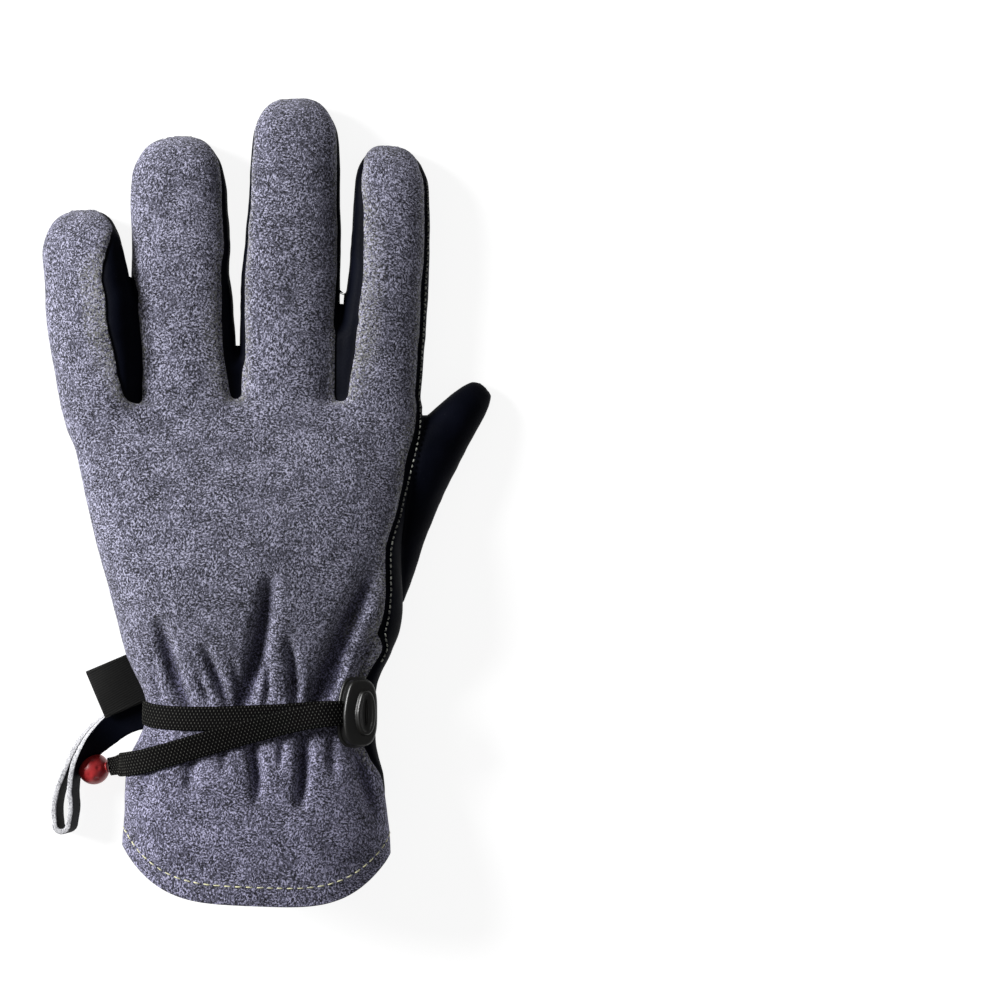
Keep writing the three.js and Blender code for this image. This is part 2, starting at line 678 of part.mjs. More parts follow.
function strapGeometry() {
  const stations = [];
  for (let i = 0; i <= STRAP_STEPS; i += 1) {
    const t = i / STRAP_STEPS;
    const angle = lerp(STRAP_START_ANGLE, STRAP_LEAVES_ANGLE, t);
    const middle = alongY(STRAP_ALONG - STRAP_SAG * Math.sin(Math.PI * t));
    const lift = PIECE_GAP + 0.6 * Math.sin((Math.PI * t) / 2) ** 2;
    stations.push((offset, height) => {
      const share = (middle + offset - HEM_Y) / GLOVE_LENGTH;
      const frame = wristFrame(share, angle);
      return framePoint(frame, 0, 0, lift + height);
    });
  }
  const slotFloor = LOCK_BASE_THICKNESS + SLOT_CLEARANCE;
  [LOCK_WIDTH / 2 + 2, LOCK_WIDTH / 2 - LOCK_SLOT_DEPTH + SLOT_CLEARANCE].forEach((across) => {
    stations.push((offset, height) => framePoint(lockFrame, across, offset, slotFloor + height));
  });
  return ribbonGeometry(stations, WEBBING_WIDTH, WEBBING_THICKNESS, 2);
}

// The free end of the webbing, a route chosen by hand from the lock over the cuff to the ball
const TAIL_ROUTE = [
  [27.3, -70.2, 30.8],
  [23.0, -70.4, 32.8],
  [18.0, -70.9, 33.5],
  [10.0, -72.2, 32.7],
  [1.0, -74.4, 32.1],
  [-11.0, -77.6, 32.2],
  [-23.0, -81.0, 32.4],
  [-34.0, -84.2, 31.3],
  [-41.6, -86.3, 28.8],
  [-47.0, -87.4, 24.8],
  [-49.7, -88.0, 18.8],
  [-50.3, -88.3, 13.4],
  [-51.3, -88.6, 10.3],
  [-52.8, -88.8, 8.9],
];
const TAIL_STEPS = 26;
const BALL_X = -58.4;
const BALL_Y = -89.5;

function tailGeometry() {
  const curve = new THREE.CatmullRomCurve3(TAIL_ROUTE.map((p) => new THREE.Vector3(...p)));
  const halfWidth = WEBBING_WIDTH / 2;
  const halfThick = WEBBING_THICKNESS / 2;
  const corner = halfThick * 0.6;
  const outline = [
    [halfWidth, -halfThick + corner], [halfWidth, halfThick - corner],
    [halfWidth - corner, halfThick], [-halfWidth + corner, halfThick],
    [-halfWidth, halfThick - corner], [-halfWidth, -halfThick + corner],
    [-halfWidth + corner, -halfThick], [halfWidth - corner, -halfThick],
  ];
  const shape = new THREE.Shape(outline.map(([across, high]) => new THREE.Vector2(across, high)));
  return geometryOf(solidOf(new THREE.ExtrudeGeometry(shape, { steps: TAIL_STEPS, extrudePath: curve })));
}

// The ball on the free end, with the neck that the webbing goes into
function ballGeometry() {
  const end = new THREE.Vector3(...TAIL_ROUTE[TAIL_ROUTE.length - 1]);
  const radius = BALL_DIAMETER / 2;
  const centre = new THREE.Vector3(BALL_X, BALL_Y, radius);
  const towards = end.clone().sub(centre);
  const reach = towards.length() - PIECE_GAP;
  const sphere = solidOf(new THREE.SphereGeometry(radius, 14, 9).rotateX(Math.PI / 2));
  const neck = new THREE.CylinderGeometry(BALL_NECK_DIAMETER / 2, BALL_NECK_DIAMETER / 2, reach, 12)
    .translate(0, reach / 2, 0)
    .applyQuaternion(new THREE.Quaternion().setFromUnitVectors(new THREE.Vector3(0, 1, 0), towards.normalize()));
  return geometryOf(sphere.add(solidOf(neck))).translate(centre.x, centre.y, centre.z);
}

// The woven label, sewn into the side seam above the wrist
const LABEL_ALONG = 0.2845;
const LABEL_HEIGHT = 14.7;

function sidePoint(along) {
  return handPoint(handSection(alongY(along)), Math.PI, 0, false);
}

function labelGeometry() {
  const halfShare = LABEL_LENGTH / 2 / GLOVE_LENGTH;
  const upper = sidePoint(LABEL_ALONG + halfShare);
  const lower = sidePoint(LABEL_ALONG - halfShare);
  const edge = upper.clone().sub(lower).setZ(0).normalize();
  const outward = new THREE.Vector3().crossVectors(UP, edge).normalize();
  const root = upper.clone().add(lower).multiplyScalar(0.5).setZ(LABEL_HEIGHT - LABEL_THICKNESS / 2);
  root.addScaledVector(outward, 2 * PIECE_GAP);
  const stations = [0, 0.35, 0.7, 1].map((t) => (offset, height) => root.clone()
    .addScaledVector(outward, t * LABEL_REACH)
    .addScaledVector(edge, offset)
    .addScaledVector(UP, height + LABEL_THICKNESS * Math.sin(Math.PI * t * 0.8)));
  return ribbonGeometry(stations, LABEL_LENGTH, LABEL_THICKNESS, 2);
}

// The hanging loop: one leather strip, doubled, that leaves the side seam lying flat, turns on edge and
// comes down to the surface. out, down: shares of its reach and drop. height: of the strip's middle, as a
// share of the strip's width. lean: degrees from upright. apart: the two layers, in strip thicknesses.
const LOOP_ALONG = 0.2345;
const LOOP_SECTIONS = [
  { out: 0.00, down: 0.00, height: 1.20, lean: 90, apart: 1.25 },
  { out: 0.25, down: 0.00, height: 1.18, lean: 82, apart: 1.30 },
  { out: 0.55, down: 0.09, height: 1.08, lean: 62, apart: 1.50 },
  { out: 0.81, down: 0.24, height: 0.92, lean: 34, apart: 1.70 },
  { out: 0.945, down: 0.43, height: 0.72, lean: 12, apart: 1.90 },
  { out: 0.97, down: 0.62, height: 0.60, lean: 10, apart: 3.40 },
  { out: 0.98, down: 0.78, height: 0.57, lean: 10, apart: 4.60 },
  { out: 0.99, down: 0.92, height: 0.56, lean: 10, apart: 3.40 },
];
const LOOP_FOLD = [-60, 0, 60].map(THREE.MathUtils.degToRad);

function loopFrames() {
  const root = handPoint(handSection(alongY(LOOP_ALONG)), Math.PI, 0, false);
  root.x -= 2.6 * PIECE_GAP;
  const middles = LOOP_SECTIONS.map((row) => new THREE.Vector3(
    root.x - row.out * LOOP_REACH,
    root.y - row.down * LOOP_DROP,
    row.height * LOOP_STRIP_WIDTH,
  ));
  return LOOP_SECTIONS.map((row, i) => {
    const before = middles[Math.max(i - 1, 0)];
    const after = middles[Math.min(i + 1, middles.length - 1)];
    const along = i === 0 ? new THREE.Vector3(-1, 0, 0) : after.clone().sub(before).normalize();
    const level = new THREE.Vector3(along.y, -along.x, 0).normalize();
    const lean = THREE.MathUtils.degToRad(row.lean);
    const wide = UP.clone().multiplyScalar(Math.cos(lean)).addScaledVector(level, Math.sin(lean));
    wide.addScaledVector(along, -wide.dot(along)).normalize();
    const out = new THREE.Vector3().crossVectors(along, wide).normalize();
    return { middle: middles[i], along, wide, out, apart: (row.apart * LOOP_STRIP_THICKNESS) / 2 };
  });
}

function loopGeometry() {
  const frames = loopFrames();
  const station = (frame, aside, onward, facing) => (offset, height) => frame.middle.clone()
    .addScaledVector(frame.out, aside)
    .addScaledVector(frame.along, onward)
    .addScaledVector(frame.wide, offset)
    .addScaledVector(facing, height - LOOP_STRIP_THICKNESS / 2);
  const last = frames[frames.length - 1];
  const stations = frames.map((frame) => station(frame, frame.apart, 0, frame.out));
  LOOP_FOLD.forEach((turn) => {
    const facing = last.along.clone().multiplyScalar(Math.cos(turn)).addScaledVector(last.out, -Math.sin(turn));
    stations.push(station(last, -last.apart * Math.sin(turn), last.apart * Math.cos(turn), facing));
  });
  frames.reverse().forEach((frame) => {
    stations.push(station(frame, -frame.apart, 0, frame.out.clone().negate()));
  });
  return ribbonGeometry(stations, LOOP_STRIP_WIDTH, LOOP_STRIP_THICKNESS, 1);
}

// Materials
const suede = new THREE.MeshStandardMaterial({ color: 0x6b7186, roughness: 0.95, metalness: 0 });
const blackLeather = new THREE.MeshStandardMaterial({ color: 0x15161c, roughness: 0.7, metalness: 0 });

const webbing = new THREE.MeshStandardMaterial({ color: 0x17171a, roughness: 0.9, metalness: 0 });
const blackPlastic = new THREE.MeshStandardMaterial({ color: 0x101114, roughness: 0.35, metalness: 0 });
const redPlastic = new THREE.MeshStandardMaterial({ color: 0xb01022, roughness: 0.25, metalness: 0 });

const glove = new THREE.Group();

function addPiece(name, geometry, material) {
  const mesh = new THREE.Mesh(geometry, material);
  mesh.name = name;
  glove.add(mesh);
}

addPiece('back_panel', geometryOf(leather.back), suede);
addPiece('palm_panel', geometryOf(leather.palm), blackLeather);
addPiece('fourchette_ring_little', geometryOf(leather.fourchettes[0]), blackLeather);
addPiece('fourchette_middle_ring', geometryOf(leather.fourchettes[1]), blackLeather);
addPiece('fourchette_index_middle', geometryOf(leather.fourchettes[2]), blackLeather);
addPiece('thumb', geometryOf(leather.thumb), blackLeather);

addPiece('side_label', labelGeometry(), webbing);
addPiece('hanging_loop', loopGeometry(), blackLeather);
addPiece('cord_lock', lockGeometry(), blackPlastic);
addPiece('wrist_strap', strapGeometry(), webbing);
addPiece('drawstring_tail', tailGeometry(), webbing);
addPiece('cord_end_ball', ballGeometry(), redPlastic);

export default glove;
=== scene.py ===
import math

import bpy
import numpy as np
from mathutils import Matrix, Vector


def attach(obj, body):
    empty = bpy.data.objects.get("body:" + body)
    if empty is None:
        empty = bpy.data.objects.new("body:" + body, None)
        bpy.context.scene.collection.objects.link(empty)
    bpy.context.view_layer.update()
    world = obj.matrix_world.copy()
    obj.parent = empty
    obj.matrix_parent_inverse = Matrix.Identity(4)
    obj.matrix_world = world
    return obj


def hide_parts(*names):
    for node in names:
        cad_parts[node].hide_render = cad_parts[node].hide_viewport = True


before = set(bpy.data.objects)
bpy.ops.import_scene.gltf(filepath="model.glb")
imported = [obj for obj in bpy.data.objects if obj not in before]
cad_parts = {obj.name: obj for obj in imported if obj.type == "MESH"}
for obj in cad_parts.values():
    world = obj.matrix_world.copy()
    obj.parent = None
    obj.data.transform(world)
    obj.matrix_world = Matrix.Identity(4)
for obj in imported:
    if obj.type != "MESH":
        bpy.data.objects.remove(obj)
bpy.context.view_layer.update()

MM = 0.001

# Sizes of the glove in millimetres, as in the frame
GLOVE_LENGTH = 269.0
PALM_WIDTH = 115.0
PALM_THICKNESS = 38.0
FINGER_THICKNESS = 21.0
TIP_ROUNDING = 25.0
REST_FLATTENING = 1.0
HEM_BOW_BACK = 17.6
HEM_BOW_PALM = 5.0
THUMB_LENGTH = 79.0
THUMB_WIDTH = 29.0
THUMB_THICKNESS = 20.0
WEBBING_WIDTH = 8.0
WEBBING_THICKNESS = 1.1
PIECE_GAP = 0.3
HAND_LINE_X = -5.2
HEM_Y = -GLOVE_LENGTH / 2
BODY_ROUNDNESS = 0.86
FINGER_ROUNDNESS = 0.9
LEATHER = 1.6

# Sections of the hand: along, left, right, top, under, bow, seam left, seam right
HAND = np.array([
    [0.640, -0.520, 0.430, 0.46, 0.02, 0, 0.12, 0.38],
    [0.611, -0.548, 0.478, 0.53, 0.00, 0, 0.13, 0.40],
    [0.590, -0.540, 0.493, 0.60, 0.00, 0, 0.14, 0.45],
    [0.556, -0.520, 0.470, 0.71, 0.00, 0, 0.16, 0.52],
    [0.519, -0.499, 0.452, 0.82, 0.00, 0, 0.20, 0.57],
    [0.482, -0.478, 0.438, 0.91, 0.00, 0, 0.24, 0.64],
    [0.440, -0.455, 0.429, 0.98, 0.00, 0, 0.28, 0.76],
    [0.400, -0.431, 0.426, 1.00, 0.00, 0, 0.31, 0.77],
    [0.367, -0.412, 0.426, 0.97, 0.00, 0, 0.33, 0.77],
    [0.338, -0.396, 0.416, 0.90, 0.02, 0, 0.35, 0.74],
    [0.312, -0.381, 0.394, 0.83, 0.05, 0, 0.36, 0.62],
    [0.290, -0.357, 0.368, 0.79, 0.08, 0, 0.36, 0.61],
    [0.271, -0.334, 0.354, 0.77, 0.10, 0, 0.37, 0.61],
    [0.255, -0.320, 0.351, 0.76, 0.11, 0, 0.37, 0.61],
    [0.238, -0.316, 0.350, 0.76, 0.11, 0, 0.37, 0.61],
    [0.221, -0.323, 0.349, 0.77, 0.10, 0, 0.37, 0.61],
    [0.203, -0.339, 0.351, 0.80, 0.07, 0, 0.37, 0.61],
    [0.183, -0.360, 0.360, 0.85, 0.03, 0.05, 0.36, 0.60],
    [0.158, -0.374, 0.373, 0.91, 0.00, 0.16, 0.36, 0.52],
    [0.118, -0.377, 0.382, 0.97, 0.00, 0.47, 0.36, 0.40],
    [0.069, -0.383, 0.394, 1.02, 0.00, 1.00, 0.36, 0.24],
    [0.040, -0.383, 0.394, 1.02, 0.00, 1.00, 0.36, 0.24],
])
LEFT, RIGHT, TOP, UNDER, BOW, SEAM_LEFT, SEAM_RIGHT = range(1, 8)
# Where the hand's solid ends under the fingers' roots
HAND_END = 0.615
HEM_SHARE = 0.069
# How far the hem drops to the thumb side as a share of its bow, and how square its corners are
HEM_LEAN = 0.10
HEM_CORNER = 3.8
# The hem's bow changes from the palm's to the back's between these places down and up from the middle
HEM_TURN = 0.35
# How far the solid hand runs on past the hem before its end is cut off there
PAST_HEM = 6.0

# Gathers and folds: from x, from y, to x, to y, spread, depth
FOLDS = [
    (0.045, 0.395, -0.037, 0.235, 0.024, 0.160),
    (-0.262, 0.345, -0.186, 0.240, 0.019, 0.145),
    (-0.128, 0.318, -0.075, 0.242, 0.016, 0.085),
    (0.096, 0.325, 0.124, 0.242, 0.016, 0.095),
    (0.335, 0.400, 0.172, 0.242, 0.027, 0.185),
    (0.352, 0.340, 0.281, 0.245, 0.017, 0.085),
    (-0.008, 0.212, 0.011, 0.132, 0.018, 0.105),
    (0.139, 0.212, 0.146, 0.128, 0.018, 0.125),
    (0.296, 0.205, 0.362, 0.108, 0.022, 0.130),
    (-0.159, 0.205, -0.190, 0.142, 0.017, 0.060),
    (-0.275, 0.205, -0.312, 0.134, 0.018, 0.065),
    # fine gathers close to the strap
    (-0.290, 0.305, -0.262, 0.246, 0.012, 0.055),
    (-0.150, 0.290, -0.130, 0.244, 0.010, 0.045),
    (-0.050, 0.300, -0.052, 0.242, 0.012, 0.050),
    (0.038, 0.305, 0.030, 0.242, 0.011, 0.055),
    (0.252, 0.298, 0.218, 0.246, 0.012, 0.060),
    (-0.085, 0.212, -0.092, 0.165, 0.012, 0.045),
    (0.070, 0.214, 0.080, 0.172, 0.010, 0.045),
    (0.220, 0.214, 0.240, 0.162, 0.012, 0.050),
]
# A fold sways by some millimetres as it runs, and fades past both ends over a share of its length
FOLD_SWAY, FOLD_TURNS, FOLD_PHASE = 0.9, 2.6, 11
FOLD_OVERRUN, FOLD_FADE = 0.12, 0.7
# How fast the folds reach their depth from the hand's side to its top
FOLD_RISE = 1.6

# Fingers: tip x, tip y, root x, root y, half width, thickness, roll
FINGERS = {
    "little": (-0.520, 0.863, -0.424, 0.572, 0.124, 0.92, 28),
    "ring": (-0.228, 0.957, -0.172, 0.562, 0.144, 0.96, 5),
    "middle": (0.110, 1.0045, 0.092, 0.562, 0.143, 1.00, -2),
    "index": (0.384, 0.944, 0.350, 0.567, 0.121, 0.96, -6),
}

# The blunt tip, over the first part of the finger: place, width, height. Places run as the square root of
# the distance, and 1 is the end of the tip's rounding.
TIP_ROWS = np.array([
    [0.0, 0.0, 0.0], [0.14, 0.28, 0.38], [0.33, 0.57, 0.60], [0.51, 0.77, 0.77], [0.72, 0.92, 0.91],
])
# The width at the end of the rounding that the tip's widths lead to, and the least half size, in millimetres
TIP_FULL_WIDTH = 0.98
THIN = 0.05
# How far a finger's solid runs on past its root, in lengths of the finger
FINGER_OVERRUN = 1.12

# The rest of each finger: place, with 2 at the root, width, height, shift to the thumb's side in millimetres
SHAFT_ROWS = {
    "little": [(1.0, 1.10, 0.98, -0.3), (1.14, 1.17, 1.0, -0.3), (1.24, 1.15, 1.0, -0.7),
               (1.42, 1.12, 1.0, -0.7),
               (1.52, 1.09, 1.0, -0.8), (1.61, 1.05, 1.0, -1.0), (1.70, 0.985, 1.0, -1.1),
               (1.86, 0.90, 0.92, -0.7), (2.0, 0.74, 0.78, 0.4), (2.12, 0.54, 0.60, 1.8),
               (2.3, 0.40, 0.45, 3.0)],
    "ring": [(1.0, 1.00, 0.98, -0.7), (1.15, 1.01, 1.0, -0.9), (1.28, 1.015, 1.0, -1.9),
             (1.40, 1.055, 1.0, -2.1),
             (1.53, 1.05, 1.0, -1.9), (1.65, 1.04, 1.0, -1.3), (1.78, 1.045, 1.0, -0.8),
             (2.0, 0.97, 0.98, -0.2), (2.3, 0.87, 0.96, 0.0)],
    "middle": [(1.0, 0.95, 0.98, 0.8), (1.12, 0.965, 0.99, 0.7), (1.22, 1.0, 1.0, 0.6),
               (1.42, 1.04, 1.0, 0.0),
               (1.7, 1.04, 1.0, -0.1), (2.0, 0.95, 0.98, 0.0), (2.3, 0.86, 0.96, 0.0)],
    "index": [(1.0, 0.94, 0.98, 1.7), (1.17, 0.97, 0.99, 1.8), (1.31, 1.005, 1.0, 1.4),
              (1.44, 1.045, 1.0, 0.7),
              (1.57, 1.075, 1.0, 0.0), (2.0, 0.96, 0.98, -0.2), (2.3, 0.88, 0.96, 0.0)],
}

# The places between which a finger's roll dies away into the hand
UNROLLS = (1.72, 2.12)

# Where the back panel ends on each side of a finger: place, left and right share of its half thickness
SEAM_ROWS = {
    "little": [(0.0, -0.25, -0.20), (0.54, -0.25, -0.05), (0.65, -0.24, 0.35), (0.78, -0.22, 0.60),
               (0.90, -0.19, 0.73), (1.0, -0.15, 0.80), (1.3, -0.03, 0.82), (1.45, 0.04, 0.76),
               (1.6, 0.13, 0.70),
               (1.75, 0.22, 0.55), (1.95, -0.10, 0.35), (2.15, -0.50, 0.30)],
    "ring": [(0.0, -0.1, 0.0), (0.45, -0.05, 0.14), (1.0, -0.05, 0.44), (1.45, -0.2, 0.66),
             (1.8, -0.3, 0.68)],
    "middle": [(0.0, 0.0, 0.0), (0.45, 0.12, 0.24), (1.0, 0.34, 0.46), (1.45, 0.50, 0.44),
               (1.8, 0.52, 0.46)],
    "index": [(0.0, 0.0, 0.10), (0.40, 0.26, 0.20), (0.55, 0.54, 0.50), (1.0, 0.76, 0.60),
              (1.45, 0.84, 0.56),
              (1.8, 0.74, 0.56)],
}
# The lower edge of the side bands: place, share of the half thickness
BAND_UNDER = [(0.0, -0.25), (0.45, -0.30), (1.0, -0.6)]

# The thumb's route from its tip to its root, and its sections: share of the length, width, height
THUMB_ROUTE = np.array([[0.676, 0.652], [0.550, 0.584], [0.420, 0.498], [0.312, 0.392]])
THUMB_ROWS = np.array([
    [0.0, 0.0, 0.0], [0.005, 0.20, 0.30], [0.04, 0.34, 0.48], [0.12, 0.47, 0.66],
    [0.26, 0.61, 0.82], [0.50, 0.77, 0.96], [0.78, 0.94, 1.00], [1.00, 0.98, 0.96],
])


def hand_x(share):
    return HAND_LINE_X + share * PALM_WIDTH


def along_y(share):
    return HEM_Y + share * GLOVE_LENGTH


def eased(t, low, high):
    """A smooth step from 0 at low to 1 at high."""
    t = np.clip((t - low) / (high - low), 0, 1)
    return t * t * (3 - 2 * t)


def unit(vectors):
    """Vectors turned to length 1."""
    return vectors / np.linalg.norm(vectors, axis=-1, keepdims=True)


def powered(value, power):
    return math.copysign(abs(value) ** power, value)


def lengths_along(points):
    """How far along a line each of its points lies."""
    return np.concatenate([[0], np.cumsum(np.linalg.norm(np.diff(points, axis=0), axis=1))])


def columns_at(at, places, table):
    """A table's columns, each read at the same places."""
    return np.column_stack([np.interp(at, places, column) for column in table.T])


def curve_through(x, xs, ys):
    """A smooth curve through a table's points, which doesn't overshoot them."""
    xs, ys = np.asarray(xs, float), np.asarray(ys, float)
    step = np.diff(xs)
    slope = np.diff(ys) / step
    product, both = slope[:-1] * slope[1:], slope[:-1] + slope[1:]
    inner = np.where(product > 0, 2 * product / (both + 1e-12), 0)
    tangent = np.concatenate([[slope[0]], inner, [slope[-1]]])
    i = np.clip(np.searchsorted(xs, x) - 1, 0, len(step) - 1)
    t = np.clip((x - xs[i]) / step[i], 0, 1)
    a, b, h = ys[i], ys[i + 1], step[i]
    return (
        a * (1 + 2 * t) * (1 - t) ** 2 + b * t * t * (3 - 2 * t)
        + h * tangent[i] * t * (1 - t) ** 2 + h * tangent[i + 1] * t * t * (t - 1)
    )


HAND_SHARES = np.linspace(HAND[-1, 0], HAND[0, 0], 1200)
HAND_COLUMNS = [curve_through(HAND_SHARES, HAND[::-1, 0], HAND[::-1, i]) for i in range(HAND.shape[1])]


def hand_column(share, column):
    """A column of the hand's table at shares of the length."""
    return np.interp(share, HAND_SHARES, HAND_COLUMNS[column])


def hand_section(share):
    """The left and right edge of the hand's section, its top and its underside."""
    return (
        hand_x(hand_column(share, LEFT)), hand_x(hand_column(share, RIGHT)),
        hand_column(share, TOP) * PALM_THICKNESS,
        hand_column(share, UNDER) * PALM_THICKNESS - REST_FLATTENING,
    )


def blended(values, base, past):
    """A grid's values at points between its samples: base is the lower sample, past the share beyond it."""
    total = 0
    for corner in np.ndindex(2, 2, 2):
        weight = np.prod(np.where(corner, past, 1 - past), axis=-1)
        total = total + weight * values[tuple(np.moveaxis((base + corner) % values.shape, -1, 0))]
    return total


def lumps(points, size, seed):
    """Smooth random values from -1 to 1 over space, with bumps of that size."""
    count = 48
    lattice = np.random.default_rng(seed).uniform(-1, 1, (count, count, count))
    q = np.asarray(points) / size + 1000.0
    base = np.floor(q).astype(int)
    return blended(lattice, base, eased(q - base, 0, 1))


# Distance-like fields of the glove's parts: below zero inside, in millimetres

def fold_depth(x, y):
    """How deep the gathers and folds are, in millimetres."""
    depth = 0.0
    for from_x, from_y, to_x, to_y, spread, deep in FOLDS:
        x0, y0 = hand_x(from_x), along_y(from_y)
        run_x, run_y = hand_x(to_x) - x0, along_y(to_y) - y0
        length = math.hypot(run_x, run_y)
        t = ((x - x0) * run_x + (y - y0) * run_y) / length ** 2
        bend = FOLD_SWAY * np.sin(FOLD_TURNS * t + FOLD_PHASE * from_x)
        aside = ((x - x0) * run_y - (y - y0) * run_x) / length + bend
        inside = np.clip((t + FOLD_OVERRUN) / (1 + 2 * FOLD_OVERRUN), 0, 1)
        fade = np.clip(np.sin(np.pi * inside), 0, 1) ** FOLD_FADE
        depth = depth + deep * PALM_THICKNESS * fade * np.exp(-(aside / (spread * PALM_WIDTH)) ** 2)
    return depth


def hand_place(x, y, z):
    """Where a point lies in the hand's sections: share along, places across and up, and the half sizes."""
    share = (y - HEM_Y) / GLOVE_LENGTH
    left, right, top, under = hand_section(share)
    bow = hand_column(share, BOW)
    across = (x - (left + right) / 2) / ((right - left) / 2)
    rise = (z - (top + under) / 2) / ((top - under) / 2)
    deep = HEM_BOW_PALM + (HEM_BOW_BACK - HEM_BOW_PALM) * eased(rise, -HEM_TURN, HEM_TURN)
    drop = np.clip(1 - np.abs(across) ** HEM_CORNER, 0, 1) + HEM_LEAN * np.clip(across, -1, 1)
    share = (y + deep * bow * drop - HEM_Y) / GLOVE_LENGTH
    return share, across, rise, (right - left) / 2, (top - under) / 2


def rounded_field(across, rise, half_width, half_height, roundness):
    """Below zero inside a rounded section, from the places across and up over its half sizes."""
    power = 2 / roundness
    norm = (np.abs(across) ** power + np.abs(rise) ** power) ** (1 / power)
    slope = np.sqrt((across / half_width) ** 2 + (rise / half_height) ** 2) / np.maximum(norm, 0.05)
    return (norm - 1) / np.maximum(slope, 1e-3)


def hand_field(x, y, z):
    share, across, rise, half_x, half_z = hand_place(x, y, z)
    field = rounded_field(across, rise, half_x, half_z, BODY_ROUNDNESS)
    field = field + fold_depth(x, y) * np.clip(FOLD_RISE * rise * rise, 0, 1) * (rise > 0)
    field = np.maximum(field, (HEM_SHARE - share) * GLOVE_LENGTH - PAST_HEM)
    return np.maximum(field, (share - HAND_END) * GLOVE_LENGTH)


def finger_columns(name):
    """Places along a finger, with the width, height and shift there."""
    _, width, _, shift = SHAFT_ROWS[name][0]
    tip = np.column_stack([TIP_ROWS, TIP_ROWS[:, 0] * shift])
    rows = np.vstack([tip * [1, width / TIP_FULL_WIDTH, 1, 1], SHAFT_ROWS[name]])
    places = np.linspace(0, rows[-1, 0], 800)
    return places, [curve_through(places, rows[:, 0], rows[:, i]) for i in (1, 2, 3)]


FINGER_COLUMNS = {name: finger_columns(name) for name in FINGERS}


def finger_place(name, x, y, z):
    """Distance and place along a finger, places across and up over its half sizes, those and its length."""
    tip_x, tip_y, root_x, root_y, half, thick, roll = FINGERS[name]
    tip = np.array([hand_x(tip_x), along_y(tip_y)])
    run = np.array([hand_x(root_x), along_y(root_y)]) - tip
    length = np.linalg.norm(run)
    back = run / length
    level = np.array([-back[1], back[0]])
    d = (x - tip[0]) * back[0] + (y - tip[1]) * back[1]
    place = np.where(
        d < TIP_ROUNDING, np.sqrt(np.clip(d, 0, None) / TIP_ROUNDING),
        1 + (d - TIP_ROUNDING) / (length - TIP_ROUNDING))
    roll = math.radians(roll) * (1 - eased(place, *UNROLLS))
    places, (widths, heights, shifts) = FINGER_COLUMNS[name]
    width = np.maximum(np.interp(place, places, widths) * half * PALM_WIDTH, THIN)
    height = np.maximum(np.interp(place, places, heights) * thick * FINGER_THICKNESS / 2, THIN)
    lift = np.hypot(np.sin(roll) * width, np.cos(roll) * height) - REST_FLATTENING
    side = (x - tip[0]) * level[0] + (y - tip[1]) * level[1] - np.interp(place, places, shifts)
    up = z - lift
    across = side * np.cos(roll) + up * np.sin(roll)
    rise = up * np.cos(roll) - side * np.sin(roll)
    return d, place, across / width, rise / height, width, height, length


def finger_field(name, x, y, z):
    d, _, across, rise, width, height, length = finger_place(name, x, y, z)
    field = rounded_field(across, rise, width, height, FINGER_ROUNDNESS)
    return np.maximum(np.maximum(field, -d), d - length * FINGER_OVERRUN)


def catmull(points, steps):
    """A smooth line through points, with even steps between each two."""
    p = np.asarray(points, float)
    p = np.vstack([2 * p[0] - p[1], p, 2 * p[-1] - p[-2]])
    out = []
    for i in range(1, len(p) - 2):
        t = np.linspace(0, 1, steps, endpoint=False)[:, None]
        a, b, c, d = p[i - 1], p[i], p[i + 1], p[i + 2]
        out.append(0.5 * (2 * b + (c - a) * t + (2 * a - 5 * b + 4 * c - d) * t ** 2
                          + (3 * b - a - 3 * c + d) * t ** 3))
    return np.vstack(out + [p[-2][None]])


def thumb_line():
    route = np.column_stack([hand_x(THUMB_ROUTE[:, 0]), along_y(THUMB_ROUTE[:, 1])])
    line = catmull(route, 16)
    return line[-1] + (line - line[-1]) * (THUMB_LENGTH / lengths_along(line)[-1])


THUMB_LINE = thumb_line()


def thumb_field(x, y, z):
    start, run = THUMB_LINE[:-1], np.diff(THUMB_LINE, axis=0)
    sizes = np.linalg.norm(run, axis=1)
    before = lengths_along(THUMB_LINE)
    past_ends = 9.0
    best = np.full(x.shape, 1e9)
    d, side = np.zeros(x.shape), np.zeros(x.shape)
    for i in range(len(run)):
        t = ((x - start[i, 0]) * run[i, 0] + (y - start[i, 1]) * run[i, 1]) / sizes[i] ** 2
        t = np.clip(t, -past_ends if i == 0 else 0.0, past_ends if i == len(run) - 1 else 1.0)
        gap_x, gap_y = x - start[i, 0] - t * run[i, 0], y - start[i, 1] - t * run[i, 1]
        gap = np.hypot(gap_x, gap_y)
        closer = gap < best
        best = np.where(closer, gap, best)
        d = np.where(closer, before[i] + t * sizes[i], d)
        side = np.where(closer, (-gap_x * run[i, 1] + gap_y * run[i, 0]) / sizes[i], side)
    share, shares = np.sqrt(np.clip(d / THUMB_LENGTH, 0, 1)), np.sqrt(THUMB_ROWS[:, 0])
    width = np.maximum(curve_through(share, shares, THUMB_ROWS[:, 1]) * THUMB_WIDTH / 2, THIN)
    height = np.maximum(curve_through(share, shares, THUMB_ROWS[:, 2]) * THUMB_THICKNESS / 2, THIN)
    rise = (z - height + REST_FLATTENING) / height
    field = rounded_field(side / width, rise, width, height, FINGER_ROUNDNESS)
    return np.maximum(np.maximum(field, -d), d - THUMB_LENGTH)


def merged(a, b, k):
    """The lower of two fields, blended over k millimetres."""
    h = np.clip(0.5 + 0.5 * (b - a) / k, 0, 1)
    return b + (a - b) * h - k * h * (1 - h)


# Below these places, in millimetres, each finger has grown together with the one before it
CLOSED_BELOW = {"ring": 70.0, "middle": 50.0, "index": 61.0}
CLOSING = 6.0
